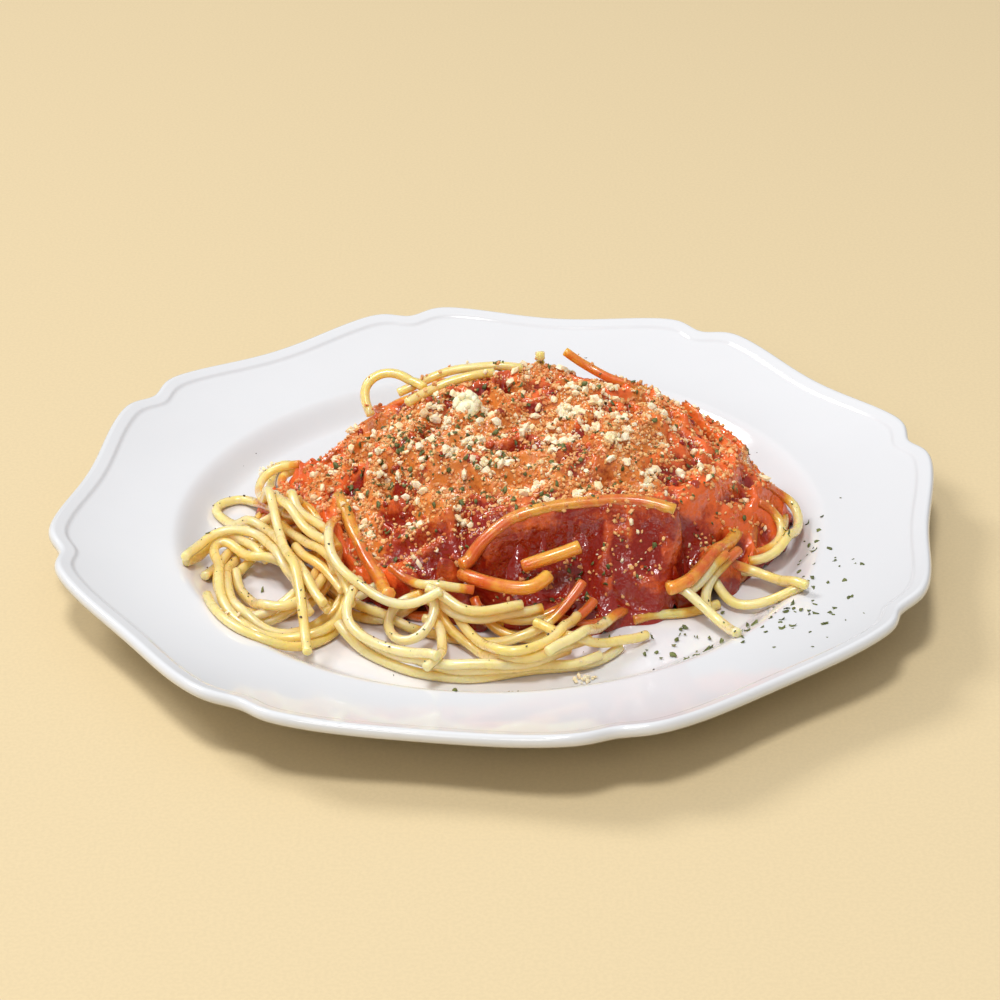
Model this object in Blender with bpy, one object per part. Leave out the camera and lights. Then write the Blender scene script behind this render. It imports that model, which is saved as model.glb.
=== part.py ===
"""Spaghetti bolognese on a bracket-edged dinner plate.

The plate is one glazed solid with a round well, a rising flange and an eight-sided bracket edge.
The tangled spaghetti is one solid out to its uneven outline, the meat sauce lies over it as a layer,
and one large crumb of cheese rests on the sauce.
Metres, +Z up. The origin is the middle of the foot ring, on the table.
"""

import bpy
import numpy as np

MM = 0.001
GAP = 0.3 * MM  # between pieces that touch

# ---- plate ----
EDGE_HOLLOW_RADIUS = 131.2 * MM  # the edge at the middle of each of its eight sides
SHOULDER_RISE = 7.0 * MM  # how much further out the shoulders beside each corner reach
NOTCH_DEPTH = 3.5 * MM
NOTCH_WIDTH = np.radians(3.1)
CORNERS = 8
FIRST_CORNER = np.radians(13.0)
WELL_FLOOR_HEIGHT = 7.0 * MM
WELL_FLOOR_RADIUS = 89.0 * MM
CREST_RADIUS = 99.5 * MM  # where the well's wall rolls over into the flange
CREST_HEIGHT = 14.2 * MM
WALL_RADII = np.array((WELL_FLOOR_RADIUS, CREST_RADIUS - 7.5 * MM, CREST_RADIUS - 4.0 * MM, CREST_RADIUS))
WALL_HEIGHTS = WELL_FLOOR_HEIGHT + (CREST_HEIGHT - WELL_FLOOR_HEIGHT) * np.array((0, 0.12, 0.6, 0.97))
FLANGE_START_SLOPE = 0.073
FLANGE_CURVE = 4.5  # per metre: the flange's slope grows towards the edge
LIP_WIDTH = 5.0 * MM  # raised border that follows the edge
LIP_RAISE = 0.5 * MM
EDGE_THICKNESS = 3.2 * MM
FLANGE_THICKNESS = 4.2 * MM
FOOT_OUTER_RADIUS = 84.0 * MM
FOOT_INNER_RADIUS = 78.0 * MM
FOOT_HEIGHT = 2.4 * MM

# ---- food ----
HEAP_CENTRE = np.array((8.0, 6.0)) * MM
HEAP_HEIGHT = 38.0 * MM  # above the well's floor, under the sauce
HEAP_RADIUS = 79.0 * MM
# Bulges and bays of an outline: direction in degrees, reach in mm, half width in degrees.
HEAP_BULGES = (
    (198, 28, 34), (224, 10, 6), (234, -9, 4), (250, 14, 18), (270, 8, 12),
    (303, -10, 6), (322, 14, 16), (350, 7, 12), (85, -12, 38),
)
HEAP_SKIRT = 2.6 * MM  # height of the outermost strand
NEST_CENTRE = np.array((-70.0, -25.0)) * MM  # the looser coil of strands beside the sauce
NEST_RADII = np.array((29.0, 43.0)) * MM
NEST_HEIGHT = 15.0 * MM
RIDGE_HEIGHT = 1.3 * MM  # relief of the strands wound round the heap
RIDGE_TURNS = 9
RIDGE_PITCH = 0.22

SAUCE_RADIUS = 67.0 * MM
SAUCE_BULGES = (
    (168, 12, 11), (204, -6, 9), (232, 7, 9), (247, -5, 7), (280, 8, 10), (345, 11, 22), (325, 6, 12), (90, -6, 50),
)
SAUCE_THICKNESS = 4.5 * MM
SAUCE_EDGE_THICKNESS = 1.6 * MM

CRUMB_PLACE = np.array((-9.0, 14.0)) * MM
CRUMB_RADII = np.array((4.6, 3.8, 3.6)) * MM

COLUMNS = 80  # round the food
SAUCE_RINGS = 9
FLANK_RINGS = 9


def clear_scene():
    for obj in list(bpy.data.objects):
        bpy.data.objects.remove(obj)


def make_material(name, colour, roughness):
    material = bpy.data.materials.new(name)
    material.use_nodes = True
    shader = material.node_tree.nodes["Principled BSDF"]
    shader.inputs["Base Color"].default_value = (*colour, 1.0)
    shader.inputs["Roughness"].default_value = roughness
    shader.inputs["Metallic"].default_value = 0.0
    return material


def add_object(name, points, faces, material, collection):
    mesh = bpy.data.meshes.new(name)
    mesh.from_pydata([tuple(point) for point in points], [], faces)
    mesh.validate()
    mesh.materials.append(material)
    mesh.shade_smooth()
    mesh.set_sharp_from_angle(angle=np.radians(40))
    obj = bpy.data.objects.new(name, mesh)
    collection.objects.link(obj)
    return obj


def loft_faces(rings):
    """Triangles of a closed loft: a bottom pole, rings of equal size up the outside, and a top pole.

    The diagonals always run from an inner ring to the next column of an outer one, so two lofts that
    share rings share their triangles too.
    """
    columns = len(rings[0])
    spread = [np.hypot(*(ring[:, :2] - ring[:, :2].mean(axis=0)).T).mean() for ring in rings]
    faces = []
    top_pole = 1 + len(rings) * columns
    last = top_pole - columns
    for c in range(columns):
        n = (c + 1) % columns
        faces.append((0, 1 + n, 1 + c))
        faces.append((last + c, last + n, top_pole))
        for k in range(len(rings) - 1):
            low, high = 1 + k * columns, 1 + (k + 1) * columns
            if spread[k + 1] > spread[k]:
                faces += [(low + c, low + n, high + n), (low + c, high + n, high + c)]
            else:
                faces += [(low + c, low + n, high + c), (low + n, high + n, high + c)]
    return faces


def turned(pole_low, rings, pole_high):
    """Points of such a loft from its poles and its rings, each an array of columns by 3."""
    return np.concatenate([[pole_low], *rings, [pole_high]])


def bell(offset, half_width):
    """A smooth bump of height 1 at offset 0, for angles that wrap round."""
    wrapped = (offset + np.pi) % (2 * np.pi) - np.pi
    return np.exp(-((wrapped / half_width) ** 2))


# ---- plate ----


def edge_radius(angle):
    """The bracket edge: eight hollow sides that swell to shoulders, with a notch at each corner."""
    sector = 2 * np.pi / CORNERS
    from_corner = (angle - FIRST_CORNER + sector / 2) % sector - sector / 2
    swell = (1 + np.cos(CORNERS * from_corner)) / 2
    notch = np.exp(-((from_corner / NOTCH_WIDTH) ** 2))
    return EDGE_HOLLOW_RADIUS + SHOULDER_RISE * swell - NOTCH_DEPTH * notch


def flange_height(radius):
    """The flange rises from the crest, ever more steeply."""
    run = radius - CREST_RADIUS
    return CREST_HEIGHT + FLANGE_START_SLOPE * run + FLANGE_CURVE * run**2


def plate_angles():
    """Angles round the plate, closer together at the corners' notches."""
    sector = 2 * np.pi / CORNERS
    half = np.linspace(0, 1, 7) ** 1.5 * sector / 2
    one = np.concatenate([-half[:0:-1], half[:-1]])
    return np.concatenate([one + FIRST_CORNER + k * sector for k in range(CORNERS)])


def plate_rings():
    """Rings from the middle of the underside, round the edge, to the middle of the well."""
    angle = plate_angles()
    edge = edge_radius(angle)

    def round_ring(radius, height):
        return np.stack([radius * np.cos(angle), radius * np.sin(angle), height + 0 * angle], axis=1)

    def inset(by):
        return edge - by

    def part_way(share):
        return CREST_RADIUS + share * (edge - CREST_RADIUS)

    under = [
        round_ring(FOOT_INNER_RADIUS - 1.5 * MM, FOOT_HEIGHT),
        round_ring(FOOT_INNER_RADIUS, 0.0),
        round_ring(FOOT_OUTER_RADIUS, 0.0),
        round_ring(FOOT_OUTER_RADIUS + 1.5 * MM, FOOT_HEIGHT),
        round_ring(CREST_RADIUS + 2.0 * MM, CREST_HEIGHT - FLANGE_THICKNESS),
    ]
    for share in (0.35, 0.7):
        radius = part_way(share)
        under.append(round_ring(radius, flange_height(radius) - FLANGE_THICKNESS))
    rim = [
        round_ring(inset(1.4 * MM), flange_height(inset(1.4 * MM)) - EDGE_THICKNESS),
        round_ring(edge, flange_height(edge) - 0.6 * EDGE_THICKNESS),
        round_ring(inset(0.2 * MM), flange_height(edge) - 0.1 * EDGE_THICKNESS),
        round_ring(inset(1.4 * MM), flange_height(inset(1.4 * MM)) + LIP_RAISE),
        round_ring(inset(LIP_WIDTH), flange_height(inset(LIP_WIDTH)) + LIP_RAISE),
        round_ring(inset(LIP_WIDTH + 1.2 * MM), flange_height(inset(LIP_WIDTH + 1.2 * MM))),
    ]
    top = []
    for share in (0.55, 0.2):
        radius = part_way(share)
        top.append(round_ring(radius, flange_height(radius)))
    top += [round_ring(radius, height) for radius, height in zip(WALL_RADII[::-1], WALL_HEIGHTS[::-1])]
    return under + rim + top


def build_plate(material, collection):
    rings = plate_rings()
    points = turned((0, 0, FOOT_HEIGHT), rings, (0, 0, WELL_FLOOR_HEIGHT))
    return add_object("plate", points, loft_faces(rings), material, collection)


# ---- food ----


def outline(angle, radius, bulges):
    """An uneven outline: a circle with smooth bulges and bays."""
    reach = radius + 0 * angle
    for direction, amount, half_width in bulges:
        reach = reach + amount * MM * bell(angle - np.radians(direction), np.radians(half_width))
    return reach


def heap_height(x, y):
    """Height of the tangle above the well's floor: a dome, fullest at its right, joined to the nest."""
    along, across = x - HEAP_CENTRE[0], y - HEAP_CENTRE[1]
    angle = np.arctan2(across, along)
    out = np.hypot(along, across)
    uneven = outline(angle, HEAP_RADIUS, HEAP_BULGES) - HEAP_RADIUS
    share = np.clip(out / (HEAP_RADIUS + uneven * np.clip(out / HEAP_RADIUS, 0, 1) ** 2) / 1.01, 0, 1)
    fullness = 2.35 + 0.5 * np.sin(angle) + 1.3 * bell(angle, np.radians(50))
    dome = HEAP_HEIGHT * (1 - share**fullness) ** 1.05
    to_left = bell(angle - np.radians(205), np.radians(48))
    dome = dome * (1 - 0.75 * to_left * np.clip((share - 0.25) / 0.75, 0, 1) ** 1.2)
    off_x, off_y = (x - NEST_CENTRE[0]) / NEST_RADII[0], (y - NEST_CENTRE[1]) / NEST_RADII[1]
    nest = NEST_HEIGHT * np.sqrt(np.clip(1 - off_x**2 - off_y**2, 0, 1))
    return np.hypot(dome, nest * (1 - 0.6 * dome / HEAP_HEIGHT))


def strand_relief(angle, height):
    """Ridges of strands wound round the heap, each climbing as it goes round."""
    turns = height / (RIDGE_PITCH * HEAP_HEIGHT) + RIDGE_TURNS * angle / (2 * np.pi)
    sway = 0.35 * np.sin(3 * angle + 1.0) + 0.25 * np.sin(7 * angle)
    return RIDGE_HEIGHT * np.cos(2 * np.pi * (turns + sway))


def seat_height(x, y):
    """Height at which food lies on the plate: just clear of the well's floor and of its wall."""
    return np.interp(np.hypot(x, y), WALL_RADII, WALL_HEIGHTS) + GAP


def food_surface():
    """Top of the tangle as rings from the middle outwards: under the sauce first, then the bare flank."""
    angle = np.linspace(0, 2 * np.pi, COLUMNS, endpoint=False)
    sauce_reach = outline(angle, SAUCE_RADIUS, SAUCE_BULGES)
    heap_reach = outline(angle, HEAP_RADIUS, HEAP_BULGES)
    shares = np.linspace(0, 1, SAUCE_RINGS + 1)[1:]
    reaches = [share * sauce_reach for share in shares]
    for share in np.linspace(0, 1, FLANK_RINGS + 1)[1:]:
        reaches.append(sauce_reach + share * (heap_reach - sauce_reach))
    rings = []
    for reach in reaches:
        x = HEAP_CENTRE[0] + reach * np.cos(angle)
        y = HEAP_CENTRE[1] + reach * np.sin(angle)
        height = np.maximum(heap_height(x, y), HEAP_SKIRT)
        out = np.clip(reach / heap_reach, 0, 1)
        relief = strand_relief(angle, height) * np.clip((out - 0.45) / 0.3, 0, 1)
        height = np.maximum(WELL_FLOOR_HEIGHT + height + relief, seat_height(x, y) + HEAP_SKIRT)
        rings.append(np.stack([x, y, height], axis=1))
    return rings


def build_heap(material, collection):
    surface = food_surface()
    skirt = surface[-1].copy()
    skirt[:, 2] = seat_height(skirt[:, 0], skirt[:, 1])
    reach = np.hypot(skirt[:, 0], skirt[:, 1])
    base = skirt * (np.minimum(1, (WELL_FLOOR_RADIUS - 1.0 * MM) / reach) * 0.97)[:, None]
    base[:, 2] = WELL_FLOOR_HEIGHT + GAP
    peak = (*HEAP_CENTRE, WELL_FLOOR_HEIGHT + HEAP_HEIGHT)
    rings = [base, skirt, *surface[::-1]]
    points = turned((*HEAP_CENTRE, WELL_FLOOR_HEIGHT + GAP), rings, peak)
    return add_object("spaghetti", points, loft_faces(rings), material, collection)


def sauce_thickness(share):
    """Full over the middle and thinner to the edge."""
    return SAUCE_EDGE_THICKNESS + (SAUCE_THICKNESS - SAUCE_EDGE_THICKNESS) * np.sqrt(1 - share**2)


def build_sauce(material, collection):
    covered = food_surface()[:SAUCE_RINGS]
    lower = [ring + (0, 0, GAP) for ring in covered]
    shares = np.linspace(0, 1, SAUCE_RINGS + 1)[1:]
    angle = np.linspace(0, 2 * np.pi, COLUMNS, endpoint=False)
    upper = []
    for ring, share in zip(covered, shares):
        lumps = 0.8 * MM * np.sin(5 * angle + 9 * share) * np.sin(11 * share) * (1 - share)
        rise = GAP + sauce_thickness(share) + lumps
        upper.append(np.stack([ring[:, 0], ring[:, 1], ring[:, 2] + rise], axis=1))
    rings = [*lower, *upper[::-1]]
    middle = WELL_FLOOR_HEIGHT + HEAP_HEIGHT + GAP
    points = turned((*HEAP_CENTRE, middle), rings, (*HEAP_CENTRE, middle + SAUCE_THICKNESS))
    return add_object("meat_sauce", points, loft_faces(rings), material, collection)


def sauce_top(x, y):
    """Height of the sauce's upper side, without its lumps."""
    along, across = x - HEAP_CENTRE[0], y - HEAP_CENTRE[1]
    reach = outline(np.arctan2(across, along), SAUCE_RADIUS, SAUCE_BULGES)
    share = np.clip(np.hypot(along, across) / reach, 0, 1)
    return WELL_FLOOR_HEIGHT + heap_height(x, y) + GAP + sauce_thickness(share)


def build_crumb(material, collection):
    """A knobbly lump of cheese whose underside follows the sauce that it lies on."""
    bpy.ops.mesh.primitive_ico_sphere_add(subdivisions=3, radius=1.0)
    obj = bpy.context.object
    obj.name = obj.data.name = "cheese_crumb"
    for owner in list(obj.users_collection):
        owner.objects.unlink(obj)
    collection.objects.link(obj)
    points = np.empty(len(obj.data.vertices) * 3)
    obj.data.vertices.foreach_get("co", points)
    points = points.reshape(-1, 3)
    knobs = 1 + 0.16 * np.sin(4.1 * points[:, 0] + 1) * np.cos(3.7 * points[:, 1]) + 0.08 * np.sin(6 * points[:, 2])
    points = points * knobs[:, None] * CRUMB_RADII
    points[:, :2] += CRUMB_PLACE
    rest = sauce_top(*CRUMB_PLACE)
    points[:, 2] += rest + CRUMB_RADII[2]
    floor = sauce_top(points[:, 0], points[:, 1]) + 1.2 * MM
    depth = (rest + 2 * CRUMB_RADII[2] - points[:, 2]) / (2.4 * CRUMB_RADII[2])
    points[:, 2] = np.maximum(points[:, 2], floor + 0.3 * MM * (1 - depth))
    obj.data.vertices.foreach_set("co", points.ravel())
    obj.data.materials.append(material)
    obj.data.update()
    return obj


def main():
    clear_scene()
    collection = bpy.data.collections.new("spaghetti_bolognese")
    bpy.context.scene.collection.children.link(collection)
    glaze = make_material("white_glaze", (0.86, 0.86, 0.88), 0.12)
    pasta = make_material("pasta", (0.82, 0.62, 0.28), 0.35)
    sauce = make_material("meat_sauce", (0.50, 0.07, 0.02), 0.25)
    cheese = make_material("cheese", (0.90, 0.80, 0.52), 0.6)
    build_plate(glaze, collection)
    build_heap(pasta, collection)
    build_sauce(sauce, collection)
    build_crumb(cheese, collection)


main()
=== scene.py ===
"""Spaghetti bolognese on a bracket-edged dinner plate.

The strands are laid one by one on a height map of all that lies below them, the sauce follows the
heap they make, and the cheese, herbs and pepper are scattered over both. Shapes are worked out in
millimetres and scaled to metres when a mesh is made.
"""

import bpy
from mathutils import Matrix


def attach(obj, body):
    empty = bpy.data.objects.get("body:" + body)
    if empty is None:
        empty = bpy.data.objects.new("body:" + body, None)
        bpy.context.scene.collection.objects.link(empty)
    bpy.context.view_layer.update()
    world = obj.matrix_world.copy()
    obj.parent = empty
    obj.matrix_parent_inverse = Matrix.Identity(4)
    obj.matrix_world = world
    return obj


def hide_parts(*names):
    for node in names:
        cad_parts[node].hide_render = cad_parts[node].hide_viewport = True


bl_info = {
    "name": "Spaghetti Bolognese",
    "version": (1, 0, 0),
    "blender": (4, 5, 0),
    "location": "View3D > Sidebar > Pasta",
    "description": "Builds a plate of spaghetti with meat sauce, cheese and parsley",
    "category": "Add Mesh",
}

from functools import lru_cache

import bpy
import numpy as np
from mathutils import Matrix, Vector

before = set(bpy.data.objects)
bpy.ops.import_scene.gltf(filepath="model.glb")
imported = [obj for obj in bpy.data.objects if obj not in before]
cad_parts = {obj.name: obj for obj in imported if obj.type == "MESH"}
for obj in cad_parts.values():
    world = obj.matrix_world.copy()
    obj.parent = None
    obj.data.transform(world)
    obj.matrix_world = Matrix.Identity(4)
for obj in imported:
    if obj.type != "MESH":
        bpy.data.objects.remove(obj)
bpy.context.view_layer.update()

MM = 0.001

# ---- the plate's section, in millimetres ----
CORNERS = 8
FIRST_CORNER = np.radians(13.0)
SHOULDER_RISE = 7.0
NOTCH_DEPTH = 3.5
NOTCH_WIDTH = np.radians(3.1)
WELL_FLOOR = 7.0
WELL_RADIUS = 88.5
CREST_RADIUS = 99.5
CREST_HEIGHT = 14.2
WALL_WIDTH = 12.5
LIP_WIDTH = 5.0
FLANGE_THICKNESS = 4.2
FOOT_INNER, FOOT_OUTER, FOOT_HEIGHT = 78.0, 84.0, 2.4
FOOT_FLARE = 1.5  # how far the foot's outer side leans out
UNDERSIDE_RUN = 17.0  # from the foot's flare to below the crest
EDGE_ROUND = 1.5

# ---- the food's outlines, in millimetres ----
CELL = 0.5  # grid of the height map
X_LOW, X_HIGH = -108.0, 108.0
Y_LOW, Y_HIGH = -98.0, 88.0
HEAP_CENTRE = np.array((8.0, 6.0))
NEST_CENTRE = np.array((-68.0, -30.0))
HEAP_HEIGHT = 37.5
CORE_DEPTH = 7.8
BURIED_SHADE = 0.9  # painted shade: how much deeper in colour a strand is at the bottom of the heap
DRIPS = 0.42  # how much sauce has run down between the strands near it
# Bulges and bays of an outline: direction in degrees, reach in mm, half width in degrees.
HEAP_OUTLINE = (
    77.0,
    ((200, 8, 26), (168, 4, 12), (250, -5, 26), (303, -15, 12), (330, -2, 12), (358, 8, 22), (85, -10, 38)),
)
WOUND_OUTLINE = (74.0, ((198, 6, 26), (252, -2, 24), (305, -16, 14), (0, 7, 30), (85, -9, 38)))
SAUCE_OUTLINE = (
    67.0,
    (
        (173, 17, 12), (246, -5, 9), (265, -4, 8), (308, 3, 12), (357, 16, 32), (90, -6, 50),
        (114, -12, 20), (150, 5, 14),
    ),
)
ROPES = 26  # strands and thick runs just under the sauce, which show as folds
BANK = 3.6  # steepness of the sauce where it ends
ROPE_RADIUS = 2.3
BROAD_LUMPS, SMALL_LUMPS = 110, 310  # round lumps of mince under the sauce's skin
# Hollows in the sauce: middle, radii and depth. A depth below 0 is a swelling.
SAUCE_HOLLOWS = (
    (-40, -38, 7, 6, 3.0), (44, -46, 3.5, 4, 4.5), (56, -39, 3.5, 5, 4.5), (-8, -49, 6, 5, 8.0),
    (8, -46, 5, 4, -3.0), (26, -52, 8, 4, 1.6), (0, 32, 10, 9, 3.0), (20, 38, 6, 4, 2.2),
    (25, -2, 4, 4, 2.5), (-28, 2, 7, 4, 2.2), (-30, -12, 4, 4, 2.2), (8, 2, 4, 3, 1.8), (42, 2, 5, 3, 1.8),
    (56, -4, 4, 5, 2.0),
)
RECESS = 8.0  # how far the sauce falls away in front of the arch
HELD_SINK, LAID_SINK = 6.0, 0.9  # how far a strand may sink into the sauce if it is held up, or just laid
STANDS_OUT = 0.8  # height above the sauce at which a strand counts as bare
STEEPEST_REST = 3.5  # slope past which nothing rests
# Coated strands that stand off the sauce: an arch from its foot at the left, and one with its end in
# the air.
ARCH = (
    (-11, -47, 20), (-10, -46, 24), (-7, -44, 28), (-2, -43, 32), (2, -41, 35), (8, -40, 37), (17, -38, 38),
    (27, -37, 38.5), (36, -36, 38.5), (44, -37, 38), (51, -39, 36.5),
)
RAISED_END = ((22, 43, 49), (26, 42, 46), (30, 41, 44), (36, 37, 42), (43, 32, 42), (50, 28, 40))

LUMPS = ((-9, 14, 1.0), (-4, 7, 0.42))  # lumps of cheese: place and share of full size
LUMP_KNOBS = 46  # crumbs that a lump is made of, round a larger one
CLUMP_CRUMBS = 12
# Ovals where small things gather: middle, radii and weight.
CHEESE_DRIFTS = ((27, 8, 9, 8, 3.0), (-6, 8, 12, 9, 1.4), (34, -8, 14, 12, 0.8), (-16, -4, 18, 8, 0.8))
STRAY_CRUMBS = ((-75, 45, 3, 3, 1.0), (-79, -58, 3, 2, 0.6), (23, -83, 3, 2, 1.6))  # on the plate
STRAY_COUNT = 34
PARSLEY_ON_SAUCE = ((-24, 8, 26, 22, 2.2), (0, -20, 40, 12, 0.7), (30, -40, 26, 14, 0.5))
PARSLEY_ON_PLATE = (
    (86, -40, 10, 26, 0.5), (62, -66, 24, 10, 0.6), (100, -20, 9, 26, 0.12), (5, -92, 22, 4, 0.25),
)

# ---- the skins of the strands, and the packed middle ----
COATED_SWELL, COATED_BELOW = 1.38, 41.0  # sauce thickens a coated strand that stays below this height
CORE_INSET = 10.0  # how far inside the heap's outline its packed middle ends

# ---- the camera and the lights, in metres ----
CAMERA_AIM = (0.0004, 0.0080, 0.0150)
CAMERA_ELEVATION = np.radians(28.9)
CAMERA_ROLL = np.radians(-1.0)
CAMERA_DISTANCE = 0.8046
SENSOR_WIDTH = 36.0  # mm
LIGHT_AIM = (0, 0, 0.02)
# For each light: its place, size and colour.
LIGHTS = {
    "key": ((-1.9, 0.9, 2.3), 1.1, (1.0, 0.985, 0.96)),
    "front": ((-0.7, -2.0, 1.4), 0.8, (1.0, 1.0, 1.0)),
    "fill": ((-0.2, -0.8, 2.25), 0.5, (1.0, 0.99, 0.975)),
}

# Routes of the loose strands in millimetres, seen from above, in the order they are laid. A separate
# fitting program worked these tables out: they weren't chosen by hand.
PLACED_NEST = (
    ((-44, -48), (-46, -55), (-51, -62), (-58, -67), (-64, -71), (-72, -69), (-79, -62), (-84, -53),
     (-86, -46)),
    ((-94, -26), (-91, -18), (-88, -11), (-84, -8), (-79, -12), (-74, -19), (-70, -25)),
    ((-79, -28), (-78, -35), (-74, -41), (-68, -54), (-62, -54), (-58, -51), (-54, -47), (-52, -41)),
    ((-80, -18), (-82, -26), (-81, -37), (-79, -47), (-75, -54), (-69, -58), (-62, -59), (-56, -56),
     (-50, -52), (-46, -48), (-46, -34)),
    ((-44, -47), (-45, -53), (-48, -59), (-54, -63), (-61, -63), (-69, -64), (-75, -60), (-81, -50),
     (-83, -40), (-84, -28), (-87, -17), (-86, -12), (-83, -13), (-78, -20), (-73, -26), (-67, -27),
     (-62, -30)),
    ((-63, -26), (-58, -40), (-54, -51), (-50, -58)),
    ((-61, -27), (-56, -36), (-50, -43), (-46, -51)),
    ((-94, -28), (-92, -21), (-89, -14), (-85, -11), (-79, -11), (-74, -13), (-69, -22), (-65, -31),
     (-61, -41), (-58, -53), (-55, -60)),
    ((-65, -10), (-59, -18), (-55, -27), (-51, -35), (-48, -46)),
    ((-66, -14), (-61, -23), (-56, -32), (-51, -40), (-47, -48), (-44, -53), (-43, -60)),
    ((-60, -12), (-65, -10), (-72, 9), (-80, 23), (-87, 21), (-90, 15), (-86, 10), (-78, -4),
     (-72, -10), (-67, -21), (-63, -31), (-58, -44), (-55, -52), (-51, -59)),
    ((-56, 16), (-63, 30), (-69, 30), (-67, 14), (-61, -17), (-56, -22), (-51, -26), (-48, -33)),
    ((-59, 29), (-67, 46), (-72, 45), (-73, 30), (-68, -6), (-62, -20), (-58, -27), (-51, -37)),
    ((-63, 27), (-69, 31), (-74, 30), (-76, 23), (-72, 1), (-67, -19), (-64, -32), (-60, -45),
     (-58, -54), (-57, -61), (-56, -68), (-55, -75)),
)
PLACED_FRONT = (
    ((-47, -61), (-42, -66), (-37, -71), (-31, -76), (-25, -80), (-16, -83), (-8, -84), (1, -82),
     (8, -80), (17, -79), (24, -78), (30, -74), (34, -69)),
    ((-23, -78), (-14, -84), (-5, -84), (4, -83), (12, -81), (21, -81), (28, -77)),
    ((-43, -63), (-38, -68), (-32, -74), (-24, -80), (-16, -85), (-6, -85), (3, -85), (11, -83), (19, -76)),
    ((39, -54), (47, -51), (53, -51), (59, -49), (64, -46)),
    ((-19, -55), (-15, -63), (-8, -69), (0, -84), (8, -86), (16, -81), (25, -72)),
    ((-22, -60), (-18, -62), (-17, -68), (-17, -83), (-21, -89)),
    ((-41, -51), (-43, -60), (-45, -65), (-42, -69), (-37, -72), (-32, -76), (-25, -81), (-18, -88)),
    ((10, -64), (15, -68), (18, -75), (23, -78), (28, -74), (35, -69), (42, -63)),
    ((-14, -58), (-11, -64), (-6, -72), (-1, -85), (5, -87), (10, -84), (15, -79), (18, -73), (22, -62)),
    ((45, -44), (39, -49), (33, -56), (29, -62), (23, -78), (18, -81), (13, -86)),
    ((-19, -56), (-15, -62), (-10, -65), (-3, -63), (4, -60), (12, -58)),
    ((-23, -53), (-29, -51), (-32, -55), (-33, -60), (-30, -66), (-26, -69), (-22, -68), (-19, -64),
     (-18, -61), (-20, -58)),
    ((-21, -60), (-16, -61), (-12, -65), (-7, -65), (-1, -63), (6, -60)),
    ((-32, -40), (-27, -46), (-21, -55), (-15, -55), (-9, -54), (-2, -56)),
    ((-42, -11), (-47, -11), (-50, -22), (-50, -40), (-48, -48), (-44, -54), (-40, -58), (-35, -60),
     (-29, -63), (-23, -64), (-17, -63)),
    ((41, -45), (46, -45), (50, -44), (54, -45)),
    ((56, -41), (64, -34), (72, -32), (80, -32), (86, -43)),
    ((61, -33), (63, -40), (66, -45), (69, -49), (75, -49), (80, -50), (85, -50), (88, -49)),
    ((59, -36), (68, -34), (75, -34), (81, -39), (86, -50), (89, -52)),
    ((60, -53), (60, -47), (62, -42), (66, -39), (71, -32)),
    ((55, -50), (59, -46), (63, -41), (67, -38)),
    ((77, -12), (82, -11), (86, -14), (86, -18), (83, -22), (77, -25)),
    ((77, -7), (85, 1), (91, 1), (92, -7), (89, -17), (83, -26), (75, -28)),
    ((41, -41), (46, -44), (50, -48), (55, -53), (59, -55), (62, -59), (65, -64), (67, -73)),
)
PLACED_COATED = (
    ((-49, -6), (-46, -14), (-44, -20), (-41, -28), (-38, -35), (-35, -42), (-32, -60)),
    ((49, -53), (54, -51), (57, -46), (61, -41), (66, -33), (71, -23)),
    ((-11, -47, 21), (-7, -52, 22), (-2, -55, 22), (3, -57, 22), (9, -58, 22), (12, -56, 23),
     (14, -54, 24)),
    ((7, -50, 25), (12, -50, 27), (17, -49, 28), (23, -48, 30)),
)
PLACED_BACK = (
    ((-31, 36, 39), (-26, 37, 41), (-21, 40, 42), (-15, 41, 44), (-7, 41, 45), (1, 40, 46), (8, 40, 45)),
    ((-28, 25, 41), (-23, 29, 42), (-16, 32, 44), (-8, 33, 46), (-1, 35, 46)),
    ((-40, 31, 34), (-42, 34, 37), (-43, 37, 40), (-40, 39, 43), (-35, 41, 44), (-31, 40, 44),
     (-27, 38, 42), (-23, 33, 41)),
    ((14, 49, 46), (14, 48, 44), (14, 49, 41)),
)


# ---- fields ----


def bell(offset, half_width):
    """A smooth bump of height 1 at offset 0, for angles that wrap round."""
    wrapped = (offset + np.pi) % (2 * np.pi) - np.pi
    return np.exp(-((wrapped / half_width) ** 2))


def ramp(value, low, high):
    """0 below low, 1 above high, and a smooth cubic between them."""
    t = np.clip((value - low) / (high - low), 0, 1)
    return t * t * (3 - 2 * t)


def outline(angle, shape):
    """Reach of an uneven outline: a circle's radius plus a smooth bump for each bulge or bay."""
    radius, bulges = shape
    reach = radius + 0 * angle
    for direction, amount, half_width in bulges:
        reach = reach + amount * bell(angle - np.radians(direction), np.radians(half_width))
    return reach


def waves(x, y, length, seed):
    """A smooth random field of spread 1: plane waves of about one length in random directions, added up."""
    rng = np.random.default_rng(seed)
    total = 0
    for _ in range(14):
        turn, phase = rng.uniform(0, 2 * np.pi, 2)
        rate = 2 * np.pi / length * rng.uniform(0.75, 1.3)
        total = total + np.cos(rate * (x * np.cos(turn) + y * np.sin(turn)) + phase)
    return total / np.sqrt(7)


def heap_polar(x, y):
    """Direction and distance from the heap's centre."""
    along, across = x - HEAP_CENTRE[0], y - HEAP_CENTRE[1]
    return np.arctan2(across, along), np.hypot(along, across)


def around_heap(angle, reach):
    """Points at these directions and distances from the heap's centre: a row of x and a row of y."""
    return HEAP_CENTRE[:, None] + reach * np.array([np.cos(angle), np.sin(angle)])


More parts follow.
